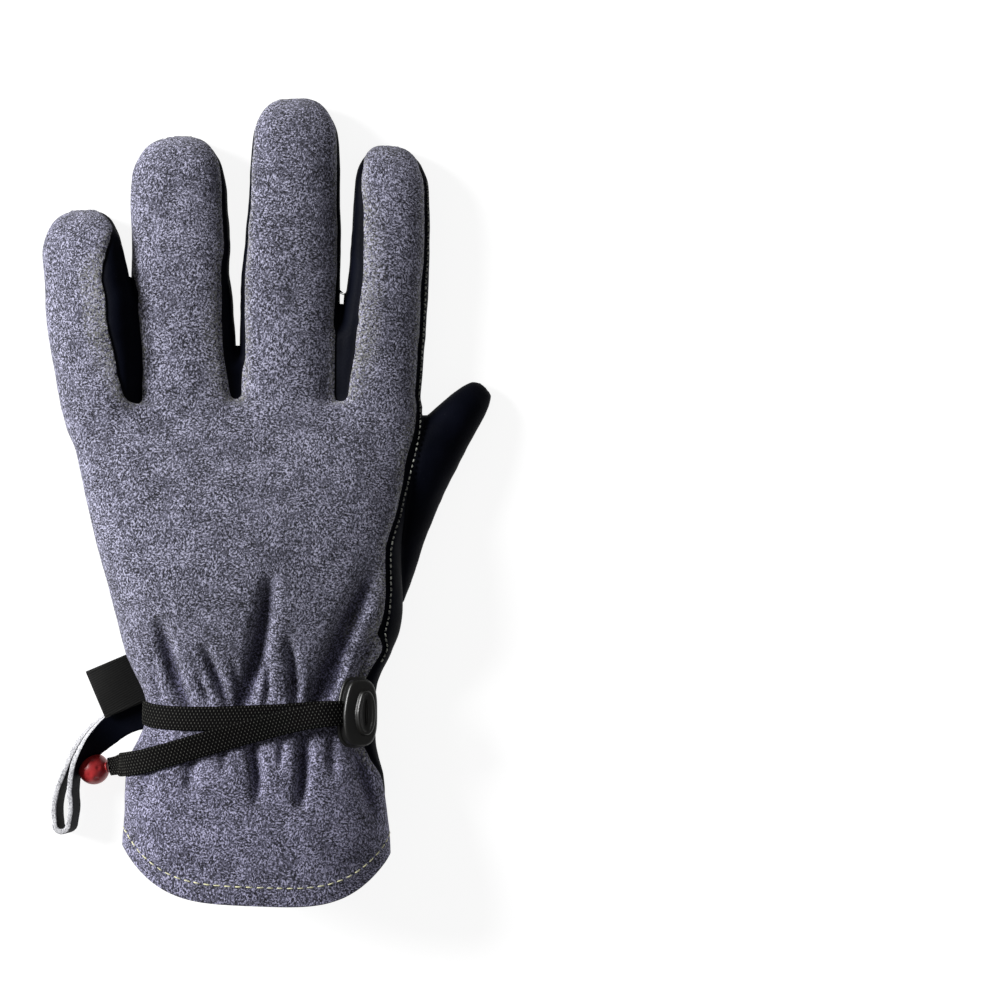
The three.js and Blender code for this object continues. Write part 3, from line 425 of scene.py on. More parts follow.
# How far the forms blend into each other: fingers above and below that place, fingers and hand, thumb
SLIT_BLEND, CLOSED_BLEND, HAND_BLEND, THUMB_BLEND = 0.6, 5.1, 5.0, 2.0


def parts_fields(x, y, z):
    fields = {"hand": hand_field(x, y, z)}
    for name in FINGERS:
        fields[name] = finger_field(name, x, y, z)
    fields["thumb"] = thumb_field(x, y, z)
    return fields


def glove_field(fields, y, z):
    fingers = fields["little"]
    for name, closed in CLOSED_BELOW.items():
        blend = CLOSED_BLEND + (SLIT_BLEND - CLOSED_BLEND) * eased(y, closed - CLOSING, closed)
        fingers = merged(fingers, fields[name], blend)
    body = merged(fields["hand"], fingers, HAND_BLEND)
    return np.maximum(merged(body, fields["thumb"], THUMB_BLEND), -z)


# Height of the back panel's edge between the two middle fingers, how much lower it is on both sides, and
# the palm panel's
WEB_HEIGHT, WEB_DROP, PALM_WEB = 15.0, 5.5, 5.0
# Where those edges start and end across the hand, where the higher one does, and where they start along it
WEBS = (-0.50, -0.46, 0.34, 0.42)
HIGH_WEB = (-0.36, -0.28, 0.10, 0.18)
WEB_START = (0.52, 0.56)
# How fast a seam passes from a finger's left side to its right, and how far off the seams still count
SIDE_TURN = 0.25
SEAM_REACH = 3.0
# How sharply one form's seams give way to the next one's
FORM_BLEND = 0.9
# A crease's spread, where the hand's own surface ends it, and how far it draws back both panels
CREASE_SPREAD = 1.1
CREASE_END = (0.3, 1.8)
CREASE_BACK, CREASE_PALM = 1.8, 1.4


def creases(fields):
    """1 in the crease between two fingers, falling to 0 away from it and at the hand's own surface."""
    names = list(FINGERS)
    near = 0.0
    for a, b in zip(names[:-1], names[1:]):
        apart = np.maximum(np.maximum(fields[a], fields[b]), 0)
        near = np.maximum(near, np.exp(-apart / CREASE_SPREAD))
    return near * eased(fields["hand"], *CREASE_END)


def within(x, places):
    """1 between the two inner of four places across the hand, and 0 beyond the outer ones."""
    low, from_low, to_high, high = map(hand_x, places)
    return eased(x, low, from_low) * (1 - eased(x, to_high, high))


def panel_fields(fields, x, y, z):
    """Over zero on the back panel, on the palm panel and on the thumb, and the share along the hand."""
    share, across, rise, _, _ = hand_place(x, y, z)
    t = np.clip((across + 1) / 2, 0, 1)
    seam = (hand_column(share, SEAM_LEFT) * (1 - t) + hand_column(share, SEAM_RIGHT) * t) * PALM_THICKNESS
    inner = within(x, WEBS) * eased(share, *WEB_START)
    web = WEB_HEIGHT - WEB_DROP * (1 - within(x, HIGH_WEB))
    above = {"hand": z - (seam * (1 - inner) + web * inner)}
    below = {"hand": (seam - z) * (1 - inner) + (PALM_WEB - z) * inner}
    for name, rows in SEAM_ROWS.items():
        _, place, across, rise, _, height, _ = finger_place(name, x, y, z)
        right = eased(across, -SIDE_TURN, SIDE_TURN)
        places, left_shares, right_shares = np.transpose(rows)
        left_seam = np.interp(place, places, left_shares)
        right_seam = np.interp(place, places, right_shares)
        under = np.interp(place, *np.transpose(BAND_UNDER))
        above[name] = (rise - left_seam * (1 - right) - right_seam * right) * height
        left_low = left_seam if name == "little" else under
        right_low = right_seam if name == "index" else under
        below[name] = (left_low * (1 - right) + right_low * right - rise) * height
    weight = {n: np.exp(-np.clip(fields[n], -8, 8) / FORM_BLEND) for n in above}
    total = sum(weight.values())

    def joined(values):
        return sum(weight[n] * np.clip(v, -SEAM_REACH, SEAM_REACH) for n, v in values.items()) / total

    crease = creases(fields)
    aside = np.minimum.reduce([fields[n] for n in above]) - fields["thumb"]
    return joined(above) - CREASE_BACK * crease, joined(below) - CREASE_PALM * crease, aside, share


# The outer surface, as the zero level of the field over a grid

VOXEL = 0.94


def surface_of(field, origin, step):
    """Vertices and quads of the zero level of a grid's values."""
    inside = field < 0
    nx, ny, nz = field.shape
    count = np.zeros((nx - 1, ny - 1, nz - 1), np.int8)
    for i, j, k in np.ndindex(2, 2, 2):
        count += inside[i:nx - 1 + i, j:ny - 1 + j, k:nz - 1 + k]
    cells = (count > 0) & (count < 8)
    ids = np.full(cells.shape, -1, np.int64)
    where = np.argwhere(cells)
    ids[tuple(where.T)] = np.arange(len(where))
    total, hits = np.zeros((len(where), 3)), np.zeros(len(where))
    quads = []
    for axis in range(3):
        others = [a for a in range(3) if a != axis]
        for shift in np.ndindex(2, 2):
            a = where.copy()
            a[:, others] += shift
            b = a.copy()
            b[:, axis] += 1
            fa, fb = field[tuple(a.T)], field[tuple(b.T)]
            crossing = (fa < 0) != (fb < 0)
            t = np.where(crossing, fa / np.where(crossing, fa - fb, 1), 0)
            point = a.astype(float)
            point[:, axis] += t
            total += point * crossing[:, None]
            hits += crossing
        low, high = [slice(None)] * 3, [slice(None)] * 3
        low[axis], high[axis] = slice(0, -1), slice(1, None)
        at = np.argwhere(inside[tuple(low)] != inside[tuple(high)])
        limit = np.array(field.shape)[others] - 1
        at = at[((at[:, others] > 0) & (at[:, others] < limit)).all(1)]
        ring = []
        for shift in ((-1, -1), (0, -1), (0, 0), (-1, 0)):
            corner = at.copy()
            corner[:, others] += shift
            ring.append(ids[tuple(corner.T)])
        quad = np.stack(ring, 1)
        leaving = inside[tuple(at.T)]
        turned = ~leaving if axis != 1 else leaving
        quad[turned] = quad[turned][:, ::-1]
        quads.append(quad)
    return total / hits[:, None] * step + origin, np.vstack(quads)


def sample_grid(field, origin, step, points):
    """The grid's value at points, between its samples."""
    q = np.clip((points - origin) / step, 0, np.array(field.shape) - 1.001)
    base = q.astype(int)
    return blended(field, base, q - base)


def triangles_of(quads):
    return np.vstack([quads[:, [0, 1, 2]], quads[:, [0, 2, 3]]])


def directed_edges(tris):
    return np.vstack([tris[:, [0, 1]], tris[:, [1, 2]], tris[:, [2, 0]]])


def edges_of(tris):
    """Each edge once, with its lower point first."""
    return np.unique(np.sort(directed_edges(tris), 1), axis=0)


def cut_by(verts, tris, values, columns):
    """The triangles where values are over zero and the rest, cut along zero, with columns carried along."""
    values = np.where(np.abs(values) < 0.02, 0.02, values)
    over = values > 0
    kinds = over[tris].sum(1)
    mixed = tris[(kinds > 0) & (kinds < 3)]
    edges = edges_of(mixed)
    edges = edges[over[edges[:, 0]] != over[edges[:, 1]]]
    a, b = edges[:, 0], edges[:, 1]
    t = (values[a] / (values[a] - values[b]))[:, None]
    verts = np.vstack([verts, verts[a] + (verts[b] - verts[a]) * t])
    columns = np.vstack([columns, columns[a] + (columns[b] - columns[a]) * t])
    first = len(over)
    key = {(int(p), int(q)): first + i for i, (p, q) in enumerate(edges)}
    high, low = [tris[kinds == 3]], [tris[kinds == 0]]
    new_high, new_low = [], []
    for tri in mixed:
        tri = [int(v) for v in tri]
        flags = [bool(over[v]) for v in tri]
        alone = flags.index(True) if sum(flags) == 1 else flags.index(False)
        p, q, r = tri[alone], tri[(alone + 1) % 3], tri[(alone + 2) % 3]
        pq, pr = key[(min(p, q), max(p, q))], key[(min(p, r), max(p, r))]
        one, two = [(p, pq, pr)], [(pq, q, r), (pq, r, pr)]
        if flags[alone]:
            new_high += one
            new_low += two
        else:
            new_low += one
            new_high += two
    high.append(np.array(new_high, int).reshape(-1, 3))
    low.append(np.array(new_low, int).reshape(-1, 3))
    return verts, columns, np.vstack(high), np.vstack(low)


# Building Blender meshes

def make_object(name, verts, faces):
    mesh = bpy.data.meshes.new(name)
    mesh.from_pydata((np.asarray(verts) * MM).tolist(), [], [list(map(int, f)) for f in faces])
    mesh.validate()
    mesh.polygons.foreach_set("use_smooth", np.full(len(mesh.polygons), True))
    obj = bpy.data.objects.new(name, mesh)
    bpy.context.scene.collection.objects.link(obj)
    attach(obj, "root")
    return obj


def give_attribute(obj, name, values):
    attribute = obj.data.attributes.new(name, "FLOAT", "POINT")
    attribute.data.foreach_set("value", np.asarray(values, np.float32))


def point_normals(verts, tris):
    a, b, c = verts[tris[:, 0]], verts[tris[:, 1]], verts[tris[:, 2]]
    n = np.cross(b - a, c - a)
    out = np.zeros_like(verts)
    for i in range(3):
        np.add.at(out, tris[:, i], n)
    return out / np.maximum(np.linalg.norm(out, axis=1), 1e-9)[:, None]


def relaxed(verts, tris, share):
    """Each point moved that share of the way to the middle of its neighbours."""
    edges = edges_of(tris)
    total = np.zeros_like(verts)
    count = np.zeros(len(verts))
    for p, q in ((0, 1), (1, 0)):
        np.add.at(total, edges[:, p], verts[edges[:, q]])
        np.add.at(count, edges[:, p], 1)
    return verts + (total / np.maximum(count, 1)[:, None] - verts) * share


def loft(rings):
    """Points and faces through rings of equal counts, with a fan over each end."""
    rings = [np.asarray(r, float) for r in rings]
    n, last = len(rings[0]), len(rings) - 1
    verts = list(np.vstack(rings))
    faces = []
    for r in range(last):
        for i in range(n):
            j = (i + 1) % n
            faces.append((r * n + i, r * n + j, (r + 1) * n + j, (r + 1) * n + i))
    for r in (0, last):
        centre = len(verts)
        verts.append(rings[r].mean(0))
        for i in range(n):
            a, b = r * n + i, r * n + (i + 1) % n
            faces.append((centre, b, a) if r == 0 else (centre, a, b))
    return np.array(verts), faces


def outward(verts, faces):
    """The faces turned so that the closed form's volume is over zero."""
    volume = 0.0
    for f in faces:
        for i in range(1, len(f) - 1):
            volume += np.dot(verts[f[0]], np.cross(verts[f[i]], verts[f[i + 1]]))
    return faces if volume > 0 else [tuple(reversed(f)) for f in faces]


def merge_parts(parts):
    """Several lists of points and faces as one."""
    verts, faces, first = [], [], 0
    for v, f in parts:
        verts.append(np.asarray(v))
        faces += [tuple(i + first for i in face) for face in f]
        first += len(v)
    return np.vstack(verts), faces


# The leather body

# The room that the field is worked out in
ROOM_LOW = np.array([-80.0, -145.2, -2.7])
ROOM_HIGH = np.array([78.0, 138.5, 43.0])


def leather_surface():
    count = np.ceil((ROOM_HIGH - ROOM_LOW) / VOXEL).astype(int) + 1
    x, y, z = np.ix_(*[a + VOXEL * np.arange(n) for a, n in zip(ROOM_LOW, count)])
    fields = {k: np.broadcast_to(v, count) for k, v in parts_fields(x, y, z).items()}
    field = np.array(np.broadcast_to(glove_field(fields, y, z), count))
    verts, quads = surface_of(field, ROOM_LOW, VOXEL)
    tris = triangles_of(quads)
    for _ in range(2):
        verts = relaxed(verts, tris, 0.5)
        normal = point_normals(verts, tris)
        verts = verts - normal * np.clip(sample_grid(field, ROOM_LOW, VOXEL, verts), -1, 1)[:, None]
    return verts, tris


# The small unevenness of soft leather on a lining: height, size, seed. It dies away below a height.
RELIEF = ((0.42, 17.0, 3), (0.20, 7.0, 5), (0.07, 2.6, 8))
FULL_RELIEF_Z = 6.0


def relief(verts):
    high = sum(height * lumps(verts, size, seed) for height, size, seed in RELIEF)
    return high * np.clip(verts[:, 2] / FULL_RELIEF_Z, 0.15, 1)


def column_table(verts):
    x, y, z = verts.T
    up, down, aside, share = panel_fields(parts_fields(x, y, z), x, y, z)
    return np.column_stack([up, down, aside, (share - HEM_SHARE) * GLOVE_LENGTH])


UP, DOWN, ASIDE, HEM = 0, 1, 2, 3
# The painted shade in the folds' valleys shows on the back only, which lies above this height
BACK_Z = 12.0


def panel(name, verts, columns, tris, distance, sink):
    """A leather panel: an outer surface sunk along its seams, an inner one and the edges between."""
    used = np.unique(tris)
    index = np.full(len(verts), -1)
    index[used] = np.arange(len(used))
    tris = index[tris]
    v, c = verts[used], columns[used]
    normal = unit(c[:, 4:7])
    s = distance(c)
    outer = v - normal * sink(s)[:, None]
    inner = outer - normal * LEATHER
    outer[:, 2] = np.maximum(outer[:, 2], 0.02)
    inner[:, 2] = np.maximum(inner[:, 2], LEATHER * 0.8)
    directed = directed_edges(tris)
    _, first, count = np.unique(np.sort(directed, 1), axis=0, return_index=True, return_counts=True)
    border = directed[first[count == 1]]
    n = len(v)
    rim = np.column_stack([border[:, 1], border[:, 0], border[:, 0] + n])
    rim_two = np.column_stack([border[:, 1], border[:, 0] + n, border[:, 1] + n])
    faces = np.vstack([tris, tris[:, ::-1] + n, rim, rim_two])
    obj = make_object(name, np.vstack([outer, inner]), faces)
    give_attribute(obj, "edge", np.concatenate([s, np.zeros(n)]))
    # Painted shade: the folds' depth, kept on the back only, darkens the suede in their valleys
    painted_valley_shade = fold_depth(v[:, 0], v[:, 1]) * (v[:, 2] > BACK_Z)
    give_attribute(obj, "painted_valley_shade", np.concatenate([painted_valley_shade, np.zeros(n)]))
    give_attribute(obj, "lining", np.concatenate([np.zeros(n), np.ones(n)]))
    return obj


def level_lines(verts, tris, values):
    """The lines where values pass zero on a surface, each as ordered places (first, second, share)."""
    values = np.where(np.abs(values) < 1e-6, 1e-6, values)
    over = values > 0
    kinds = over[tris].sum(1)
    links = {}
    for tri in tris[(kinds > 0) & (kinds < 3)]:
        keys = []
        for i in range(3):
            p, q = int(tri[i]), int(tri[(i + 1) % 3])
            if over[p] != over[q]:
                keys.append((min(p, q), max(p, q)))
        links.setdefault(keys[0], []).append(keys[1])
        links.setdefault(keys[1], []).append(keys[0])
    lines = []
    left = set(links)
    ends = [k for k in links if len(links[k]) == 1]
    for start in ends + sorted(links):
        if start not in left:
            continue
        line, at = [start], start
        left.discard(start)
        while True:
            following = [k for k in links[at] if k in left]
            if not following:
                break
            at = following[0]
            left.discard(at)
            line.append(at)
        lines.append(line)
    out = []
    for line in lines:
        a = np.array([k[0] for k in line])
        b = np.array([k[1] for k in line])
        t = values[a] / (values[a] - values[b])
        out.append((a, b, t))
    return out


def along_line(table, line):
    a, b, t = line
    return table[a] + (table[b] - table[a]) * t[:, None]


def smoothed(points, times):
    for _ in range(times):
        inner = (points[:-2] + 2 * points[1:-1] + points[2:]) / 4
        points = np.vstack([points[:1], inner, points[-1:]])
    return points


def thread(points, normals, radius):
    """A stitch: a short round thread along points, with rounded ends."""
    n = len(points)
    turn = np.linspace(0, 2 * np.pi, 6, endpoint=False)
    rings = []
    for i in range(n):
        tangent = unit(points[min(i + 1, n - 1)] - points[max(i - 1, 0)])
        side = unit(np.cross(tangent, normals[i]))
        up = np.cross(side, tangent)
        share = abs(2 * i / (n - 1) - 1)
        r = radius * math.sqrt(max(1 - share ** 4, 0.08))
        rings.append(points[i] + r * (np.outer(np.cos(turn), side) + np.outer(np.sin(turn), up)))
    return loft(rings)


# How deep a stitch's ends dive into the leather, and how far it may lean to a side, in millimetres
STITCH_DIVE, STITCH_LEAN = 0.35, 0.08


def stitches(name, line, normals, long, gap, radius, lift, seed):
    """A row of stitches along a line: each dives into the leather at both ends."""
    rng = np.random.default_rng(seed)
    lengths = lengths_along(line)
    at = np.arange(0, lengths[-1], 0.2)
    points, normal = columns_at(at, lengths, line), columns_at(at, lengths, normals)
    parts = []
    start = 0.0
    while start + long < at[-1]:
        size = long * rng.uniform(0.9, 1.08)
        inside = np.linspace(start, start + size, 7)
        p, n = columns_at(inside, at, points), unit(columns_at(inside, at, normal))
        t = np.linspace(-1, 1, 7)
        side = np.cross(unit(p[-1] - p[0]), n)
        p = p + n * (lift * (1 - t ** 2) - STITCH_DIVE * t ** 4)[:, None]
        p = p + side * (rng.uniform(-STITCH_LEAN, STITCH_LEAN) * t)[:, None]
        parts.append(thread(p, n, radius * rng.uniform(0.9, 1.1)))
        start += size + gap * rng.uniform(0.85, 1.15)
    return make_object(name, *merge_parts(parts))


# Materials

class Nodes:
    """Short ways to add nodes to a material."""

    def __init__(self, name, roughness, **fixed):
        self.material = bpy.data.materials.new(name)
        self.material.use_nodes = True
        self.tree = self.material.node_tree
        self.shader = self.tree.nodes["Principled BSDF"]
        self.shader.inputs["Roughness"].default_value = roughness
        for key, value in fixed.items():
            self.shader.inputs[key.replace("_", " ")].default_value = value
        place = self.tree.nodes.new("ShaderNodeTexCoord")
        self.place = self.mapped(place.outputs["Object"], scale=(1000, 1000, 1000))

    def link(self, a, b):
        self.tree.links.new(a, b)

    def mapped(self, vector, scale=(1, 1, 1), turn=(0, 0, 0)):
        node = self.tree.nodes.new("ShaderNodeMapping")
        node.inputs["Scale"].default_value = scale
        node.inputs["Rotation"].default_value = turn
        self.link(vector, node.inputs["Vector"])
        return node.outputs["Vector"]

    def noise(self, scale, vector=None, detail=2.0, rough=0.5):
        node = self.tree.nodes.new("ShaderNodeTexNoise")
        node.inputs["Scale"].default_value = scale
        node.inputs["Detail"].default_value = detail
        node.inputs["Roughness"].default_value = rough
        self.link(vector or self.place, node.inputs["Vector"])
        return node.outputs["Fac"]

    def math(self, operation, a, b):
        node = self.tree.nodes.new("ShaderNodeMath")
        node.operation = operation
        for socket, value in zip(node.inputs, (a, b)):
            if isinstance(value, (int, float)):
                socket.default_value = value
            else:
                self.link(value, socket)
        return node.outputs[0]

    def times(self, a, b):
        return self.math("MULTIPLY", a, b)

    def plus(self, a, b):
        return self.math("ADD", a, b)

    def ramp(self, fac, stops):
        node = self.tree.nodes.new("ShaderNodeValToRGB")
        elements = node.color_ramp.elements
        while len(elements) > 1:
            elements.remove(elements[-1])
        for i, (place, colour) in enumerate(stops):
            element = elements[0] if i == 0 else elements.new(place)
            element.position = place
            element.color = (*colour, 1)
        self.link(fac, node.inputs["Fac"])
        return node.outputs["Color"]

    def steps(self, fac, low, high):
        node = self.tree.nodes.new("ShaderNodeMapRange")
        node.interpolation_type = "SMOOTHSTEP"
        node.inputs["From Min"].default_value = low
        node.inputs["From Max"].default_value = high
        self.link(fac, node.inputs["Value"])
        return node.outputs["Result"]

    def mix(self, fac, a, b, kind="MIX"):
        node = self.tree.nodes.new("ShaderNodeMix")
        node.data_type = "RGBA"
        node.blend_type = kind
        for socket, value in ((node.inputs[0], fac), (node.inputs[6], a), (node.inputs[7], b)):
            if isinstance(value, (int, float)):
                socket.default_value = value
            elif isinstance(value, tuple):
                socket.default_value = (*value, 1)
            else:
                self.link(value, socket)
        return node.outputs[2]

    def attribute(self, name):
        node = self.tree.nodes.new("ShaderNodeAttribute")
        node.attribute_name = name
        return node.outputs["Fac"]

    def axis(self, index):
        node = self.tree.nodes.new("ShaderNodeSeparateXYZ")
        self.link(self.place, node.inputs[0])
        return node.outputs[index]

    def colour(self, value):
        self.link(value, self.shader.inputs["Base Color"])

    def rough(self, value):
        self.link(value, self.shader.inputs["Roughness"])

    def bump(self, height, distance, strength=1.0):
        node = self.tree.nodes.new("ShaderNodeBump")
        node.inputs["Distance"].default_value = distance * MM
        node.inputs["Strength"].default_value = strength
        self.link(height, node.inputs["Height"])
        self.link(node.outputs["Normal"], self.shader.inputs["Normal"])


def suede_material():
    n = Nodes("suede", 0.97, Sheen_Weight=0.12, Sheen_Roughness=0.6, Specular_IOR_Level=0.08)
    mask = n.steps(n.noise(0.09, detail=1.0), 0.44, 0.56)
    mask_two = n.steps(n.noise(0.13, n.mapped(n.place, turn=(0, 0, 1.1)), detail=1.0), 0.42, 0.58)
    flecks = [
        n.noise(1.4, n.mapped(n.place, scale, (0, 0, turn)), 3.0, 0.68)
        for scale, turn in (((1.3, 0.95, 1.2), 0.65), ((1.3, 0.95, 1.2), -0.75), ((1.0, 1.3, 1.2), 0.2))
    ]
    fleck = n.mix(mask_two, n.mix(mask, *flecks[:2]), flecks[2])
    patches = n.noise(0.03, detail=3.0, rough=0.6)
    blotches = n.noise(0.14, detail=2.0)
    drift = n.plus(n.times(n.plus(patches, -0.5), 0.06), n.times(n.plus(blotches, -0.5), 0.10))
    tone = n.plus(fleck, drift)
    grey = n.ramp(tone, [
        (0.385, (0.006, 0.006, 0.009)), (0.46, (0.046, 0.046, 0.064)),
        (0.525, (0.128, 0.127, 0.176)), (0.60, (0.420, 0.416, 0.550)),
    ])
    tint = n.steps(n.axis(1), -30.0, -95.0)
    cool = n.mix(n.times(tint, 0.8), grey, n.mix(1.0, grey, (0.97, 0.95, 1.03), "MULTIPLY"))
    # Painted shade: the suede darkens and turns bluer in the folds' valleys, more so the deeper they are
    painted_valley_shade = n.steps(n.attribute("painted_valley_shade"), 0.8, 4.6)
    deep = n.mix(n.times(painted_valley_shade, 0.72), cool, n.mix(1.0, cool, (0.14, 0.13, 0.24), "MULTIPLY"))
    worn = n.steps(n.attribute("edge"), 3.2, 0.2)
    speck = n.steps(n.noise(1.3, detail=2.0), 0.42, 0.60)
    pale = n.mix(n.times(worn, n.times(speck, 0.45)), deep, (0.36, 0.36, 0.31))
    lining = n.mix(n.attribute("lining"), pale, (0.02, 0.02, 0.024))
    n.colour(lining)
    n.bump(fleck, 0.6, 1.0)
    return n.material


def leather_material():
    n = Nodes("black_leather", 0.62, Specular_IOR_Level=0.03)
    grain = n.noise(1.6, detail=4.0, rough=0.6)
    lint = n.steps(n.noise(1.1, n.mapped(n.place, (2.4, 0.7, 1), (0, 0, 0.5)), 2.0), 0.70, 0.80)
    base = n.ramp(n.noise(0.08), [(0.35, (0.0010, 0.0014, 0.0036)), (0.65, (0.0022, 0.0028, 0.0065))])
    dusty = n.mix(n.times(lint, 0.07), base, (0.10, 0.10, 0.11))
    worn = n.steps(n.attribute("edge"), 1.2, 0.1)
    n.colour(n.mix(n.times(worn, 0.06), dusty, (0.05, 0.05, 0.055)))
    n.rough(n.plus(n.times(grain, 0.3), 0.45))
    n.bump(grain, 0.10, 0.6)
    return n.material


def webbing_material():
    n = Nodes("webbing", 0.75, Specular_IOR_Level=0.06)
    # Painted highlight: the raised threads of the weave are coloured lighter and the sunken ones near black
    weave_highlight = n.attribute("weave_highlight")
    fibre = n.noise(2.6, detail=3.0, rough=0.6)
    tone = n.plus(n.times(weave_highlight, 0.75), n.times(fibre, 0.35))
    n.colour(n.ramp(tone, [
        (0.30, (0.0006, 0.0006, 0.0006)), (0.60, (0.0060, 0.0060, 0.0056)),
        (0.95, (0.150, 0.150, 0.132)),
    ]))
    n.bump(fibre, 0.12, 0.6)
    return n.material


def plastic_material(name, colour, roughness, bump):
    n = Nodes(name, roughness, Specular_IOR_Level=0.5)
    spots = n.noise(0.5, detail=3.0)
    n.colour(n.mix(n.steps(spots, 0.3, 0.8), colour, tuple(c * 0.72 for c in colour)))
    n.rough(n.plus(n.times(n.noise(1.4, detail=3.0), 0.25), roughness - 0.1))
    n.bump(n.noise(2.2, detail=3.0), bump, 0.5)
    return n.material


def raw_edge_material():
    n = Nodes("raw_edge", 0.95, Specular_IOR_Level=0.1)
    fibre = n.noise(1.7, n.mapped(n.place, (1.5, 1.0, 1.5)), 4.0, 0.7)
    n.colour(n.ramp(fibre, [
        (0.32, (0.05, 0.05, 0.055)), (0.43, (0.33, 0.33, 0.35)),
        (0.60, (0.62, 0.62, 0.64)), (0.8, (0.8, 0.8, 0.81)),
    ]))
    n.bump(fibre, 0.35, 0.9)
    return n.material


def thread_material(name, light, dark):
    n = Nodes(name, 0.7, Specular_IOR_Level=0.3)
    twist = n.noise(1.3, detail=3.0)
    n.colour(n.mix(n.steps(twist, 0.38, 0.62), dark, light))
    n.bump(n.noise(4.0, detail=2.0), 0.08, 0.6)
    return n.material


def label_material():
    n = Nodes("label_cloth", 0.6, Specular_IOR_Level=0.12)
    wave = n.tree.nodes.new("ShaderNodeTexWave")
    wave.inputs["Scale"].default_value = 0.42
    wave.inputs["Distortion"].default_value = 0.6
    n.link(n.mapped(n.place, turn=(0, 0, 1.05)), wave.inputs["Vector"])
    fibre = n.noise(2.2, detail=3.0)
    tone = n.plus(n.times(wave.outputs["Fac"], 0.4), n.times(fibre, 0.6))
    n.colour(n.ramp(tone, [(0.2, (0.0010, 0.0010, 0.0010)), (0.8, (0.0130, 0.0130, 0.0125))]))
    n.bump(tone, 0.12, 0.8)
    return n.material


SUEDE = suede_material()
BLACK = leather_material()
WEBBING = webbing_material()
BLACK_PLASTIC = plastic_material("black_plastic", (0.0045, 0.0045, 0.0038), 0.34, 0.06)
RED_PLASTIC = plastic_material("red_plastic", (0.40, 0.022, 0.025), 0.33, 0.05)
RAW_EDGE = raw_edge_material()
HEM_THREAD = thread_material("hem_thread", (0.72, 0.70, 0.42), (0.40, 0.40, 0.30))
SEAM_THREAD = thread_material("seam_thread", (0.33, 0.34, 0.30), (0.05, 0.05, 0.05))
LABEL = label_material()


def finish_piece(obj, material, slot=None, node=None):
    obj.data.materials.append(material)
    if slot:
        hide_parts(node)


# The panels

verts, tris = leather_surface()
normal = point_normals(verts, tris)
verts = verts + normal * relief(verts)[:, None]
verts[:, 2] = np.maximum(verts[:, 2], 0.0)
normal = point_normals(verts, tris)
columns = np.column_stack([column_table(verts), normal])

verts, columns, tris, _ = cut_by(verts, tris, columns[:, HEM], columns)
verts, columns, thumb_tris, tris = cut_by(verts, tris, columns[:, ASIDE], columns)
verts, columns, back_tris, tris = cut_by(verts, tris, columns[:, UP], columns)
verts, columns, palm_tris, band_tris = cut_by(verts, tris, columns[:, DOWN], columns)

# A bit of fewer triangles than this, cut off from its panel, goes to the panel that it touches most
SMALL_BIT = 400


def parted(tris):
    """A panel's triangles without the small bits that the cuts left apart from it, and those bits."""
    label = np.arange(tris.max() + 1)
    settled = False
    while not settled:
        low = label[tris].min(1)
        lower = label.copy()
        for i in range(3):
            np.minimum.at(lower, tris[:, i], low)
        lower = lower[lower]
        settled = (lower == label).all()
        label = lower
    group = label[tris[:, 0]]
    kinds, sizes = np.unique(group, return_counts=True)
    small = kinds[sizes < SMALL_BIT]
    return tris[~np.isin(group, small)], [tris[group == kind] for kind in small]


band_x = verts[band_tris].mean(1)[:, 0]
from_ring, from_middle = hand_x(-0.22), hand_x(0.10)
panels = {
    "back": back_tris, "palm": palm_tris, "thumb": thumb_tris,
    "ring_little": band_tris[band_x <= from_ring],
    "middle_ring": band_tris[(band_x > from_ring) & (band_x <= from_middle)],
    "index_middle": band_tris[band_x > from_middle],
}
bits = []
for name in panels:
    panels[name], small_bits = parted(panels[name])
    bits += small_bits
for bit in bits:
    touched = max(panels, key=lambda n: np.isin(np.unique(bit), panels[n]).sum())
    panels[touched] = np.vstack([panels[touched], bit])
back_tris, palm_tris, thumb_tris = panels["back"], panels["palm"], panels["thumb"]


def seam_dip(depth, reach, everywhere=0.0):
    return lambda s: everywhere + depth * np.exp(-(s / reach) ** 2)


def palm_edge(c):
    return np.minimum(c[:, DOWN], -c[:, ASIDE])


def band_edge(c):
    return np.minimum(-c[:, UP], -c[:, DOWN])


finish_piece(
    panel("back_leather", verts, columns, back_tris, lambda c: c[:, UP], seam_dip(0.55, 0.8)),
    SUEDE, "suede", "back_panel")
finish_piece(
    panel("palm_leather", verts, columns, palm_tris, palm_edge, seam_dip(1.0, 1.3)),
    BLACK, "black_leather", "palm_panel")
finish_piece(
    panel("thumb_leather", verts, columns, thumb_tris, lambda c: c[:, ASIDE], seam_dip(0.9, 1.3)),
    BLACK, "black_leather", "thumb")
for name in ("ring_little", "middle_ring", "index_middle"):
    finish_piece(
        panel("side_band_" + name, verts, columns, panels[name], band_edge, seam_dip(0.6, 1.2, 0.55)),
        BLACK, "black_leather", "fourchette_" + name)


# Threads along the seams

def best_line(lines, test):
    """The longest of the lines' stretches where the test holds."""
    best = None
    for a, b, t in lines:
        keep = test(along_line(verts, (a, b, t)))
        start = None
        for i in range(len(keep) + 1):
            inside = i < len(keep) and keep[i]
            if inside and start is None:
                start = i
            if not inside and start is not None:
                if best is None or i - start > len(best[0]):
                    best = (a[start:i], b[start:i], t[start:i])
                start = None
    return best


def seam_line(chosen, values, level, test):
    line = best_line(level_lines(verts, chosen, values - level), test)
    points = smoothed(along_line(verts, line), 6)
    normals = smoothed(along_line(columns[:, 4:7], line), 6)
    return points, normals


def index_side(p):
    return (p[:, 0] > hand_x(0.24)) & (p[:, 1] < along_y(0.90)) & (p[:, 1] > along_y(0.30))


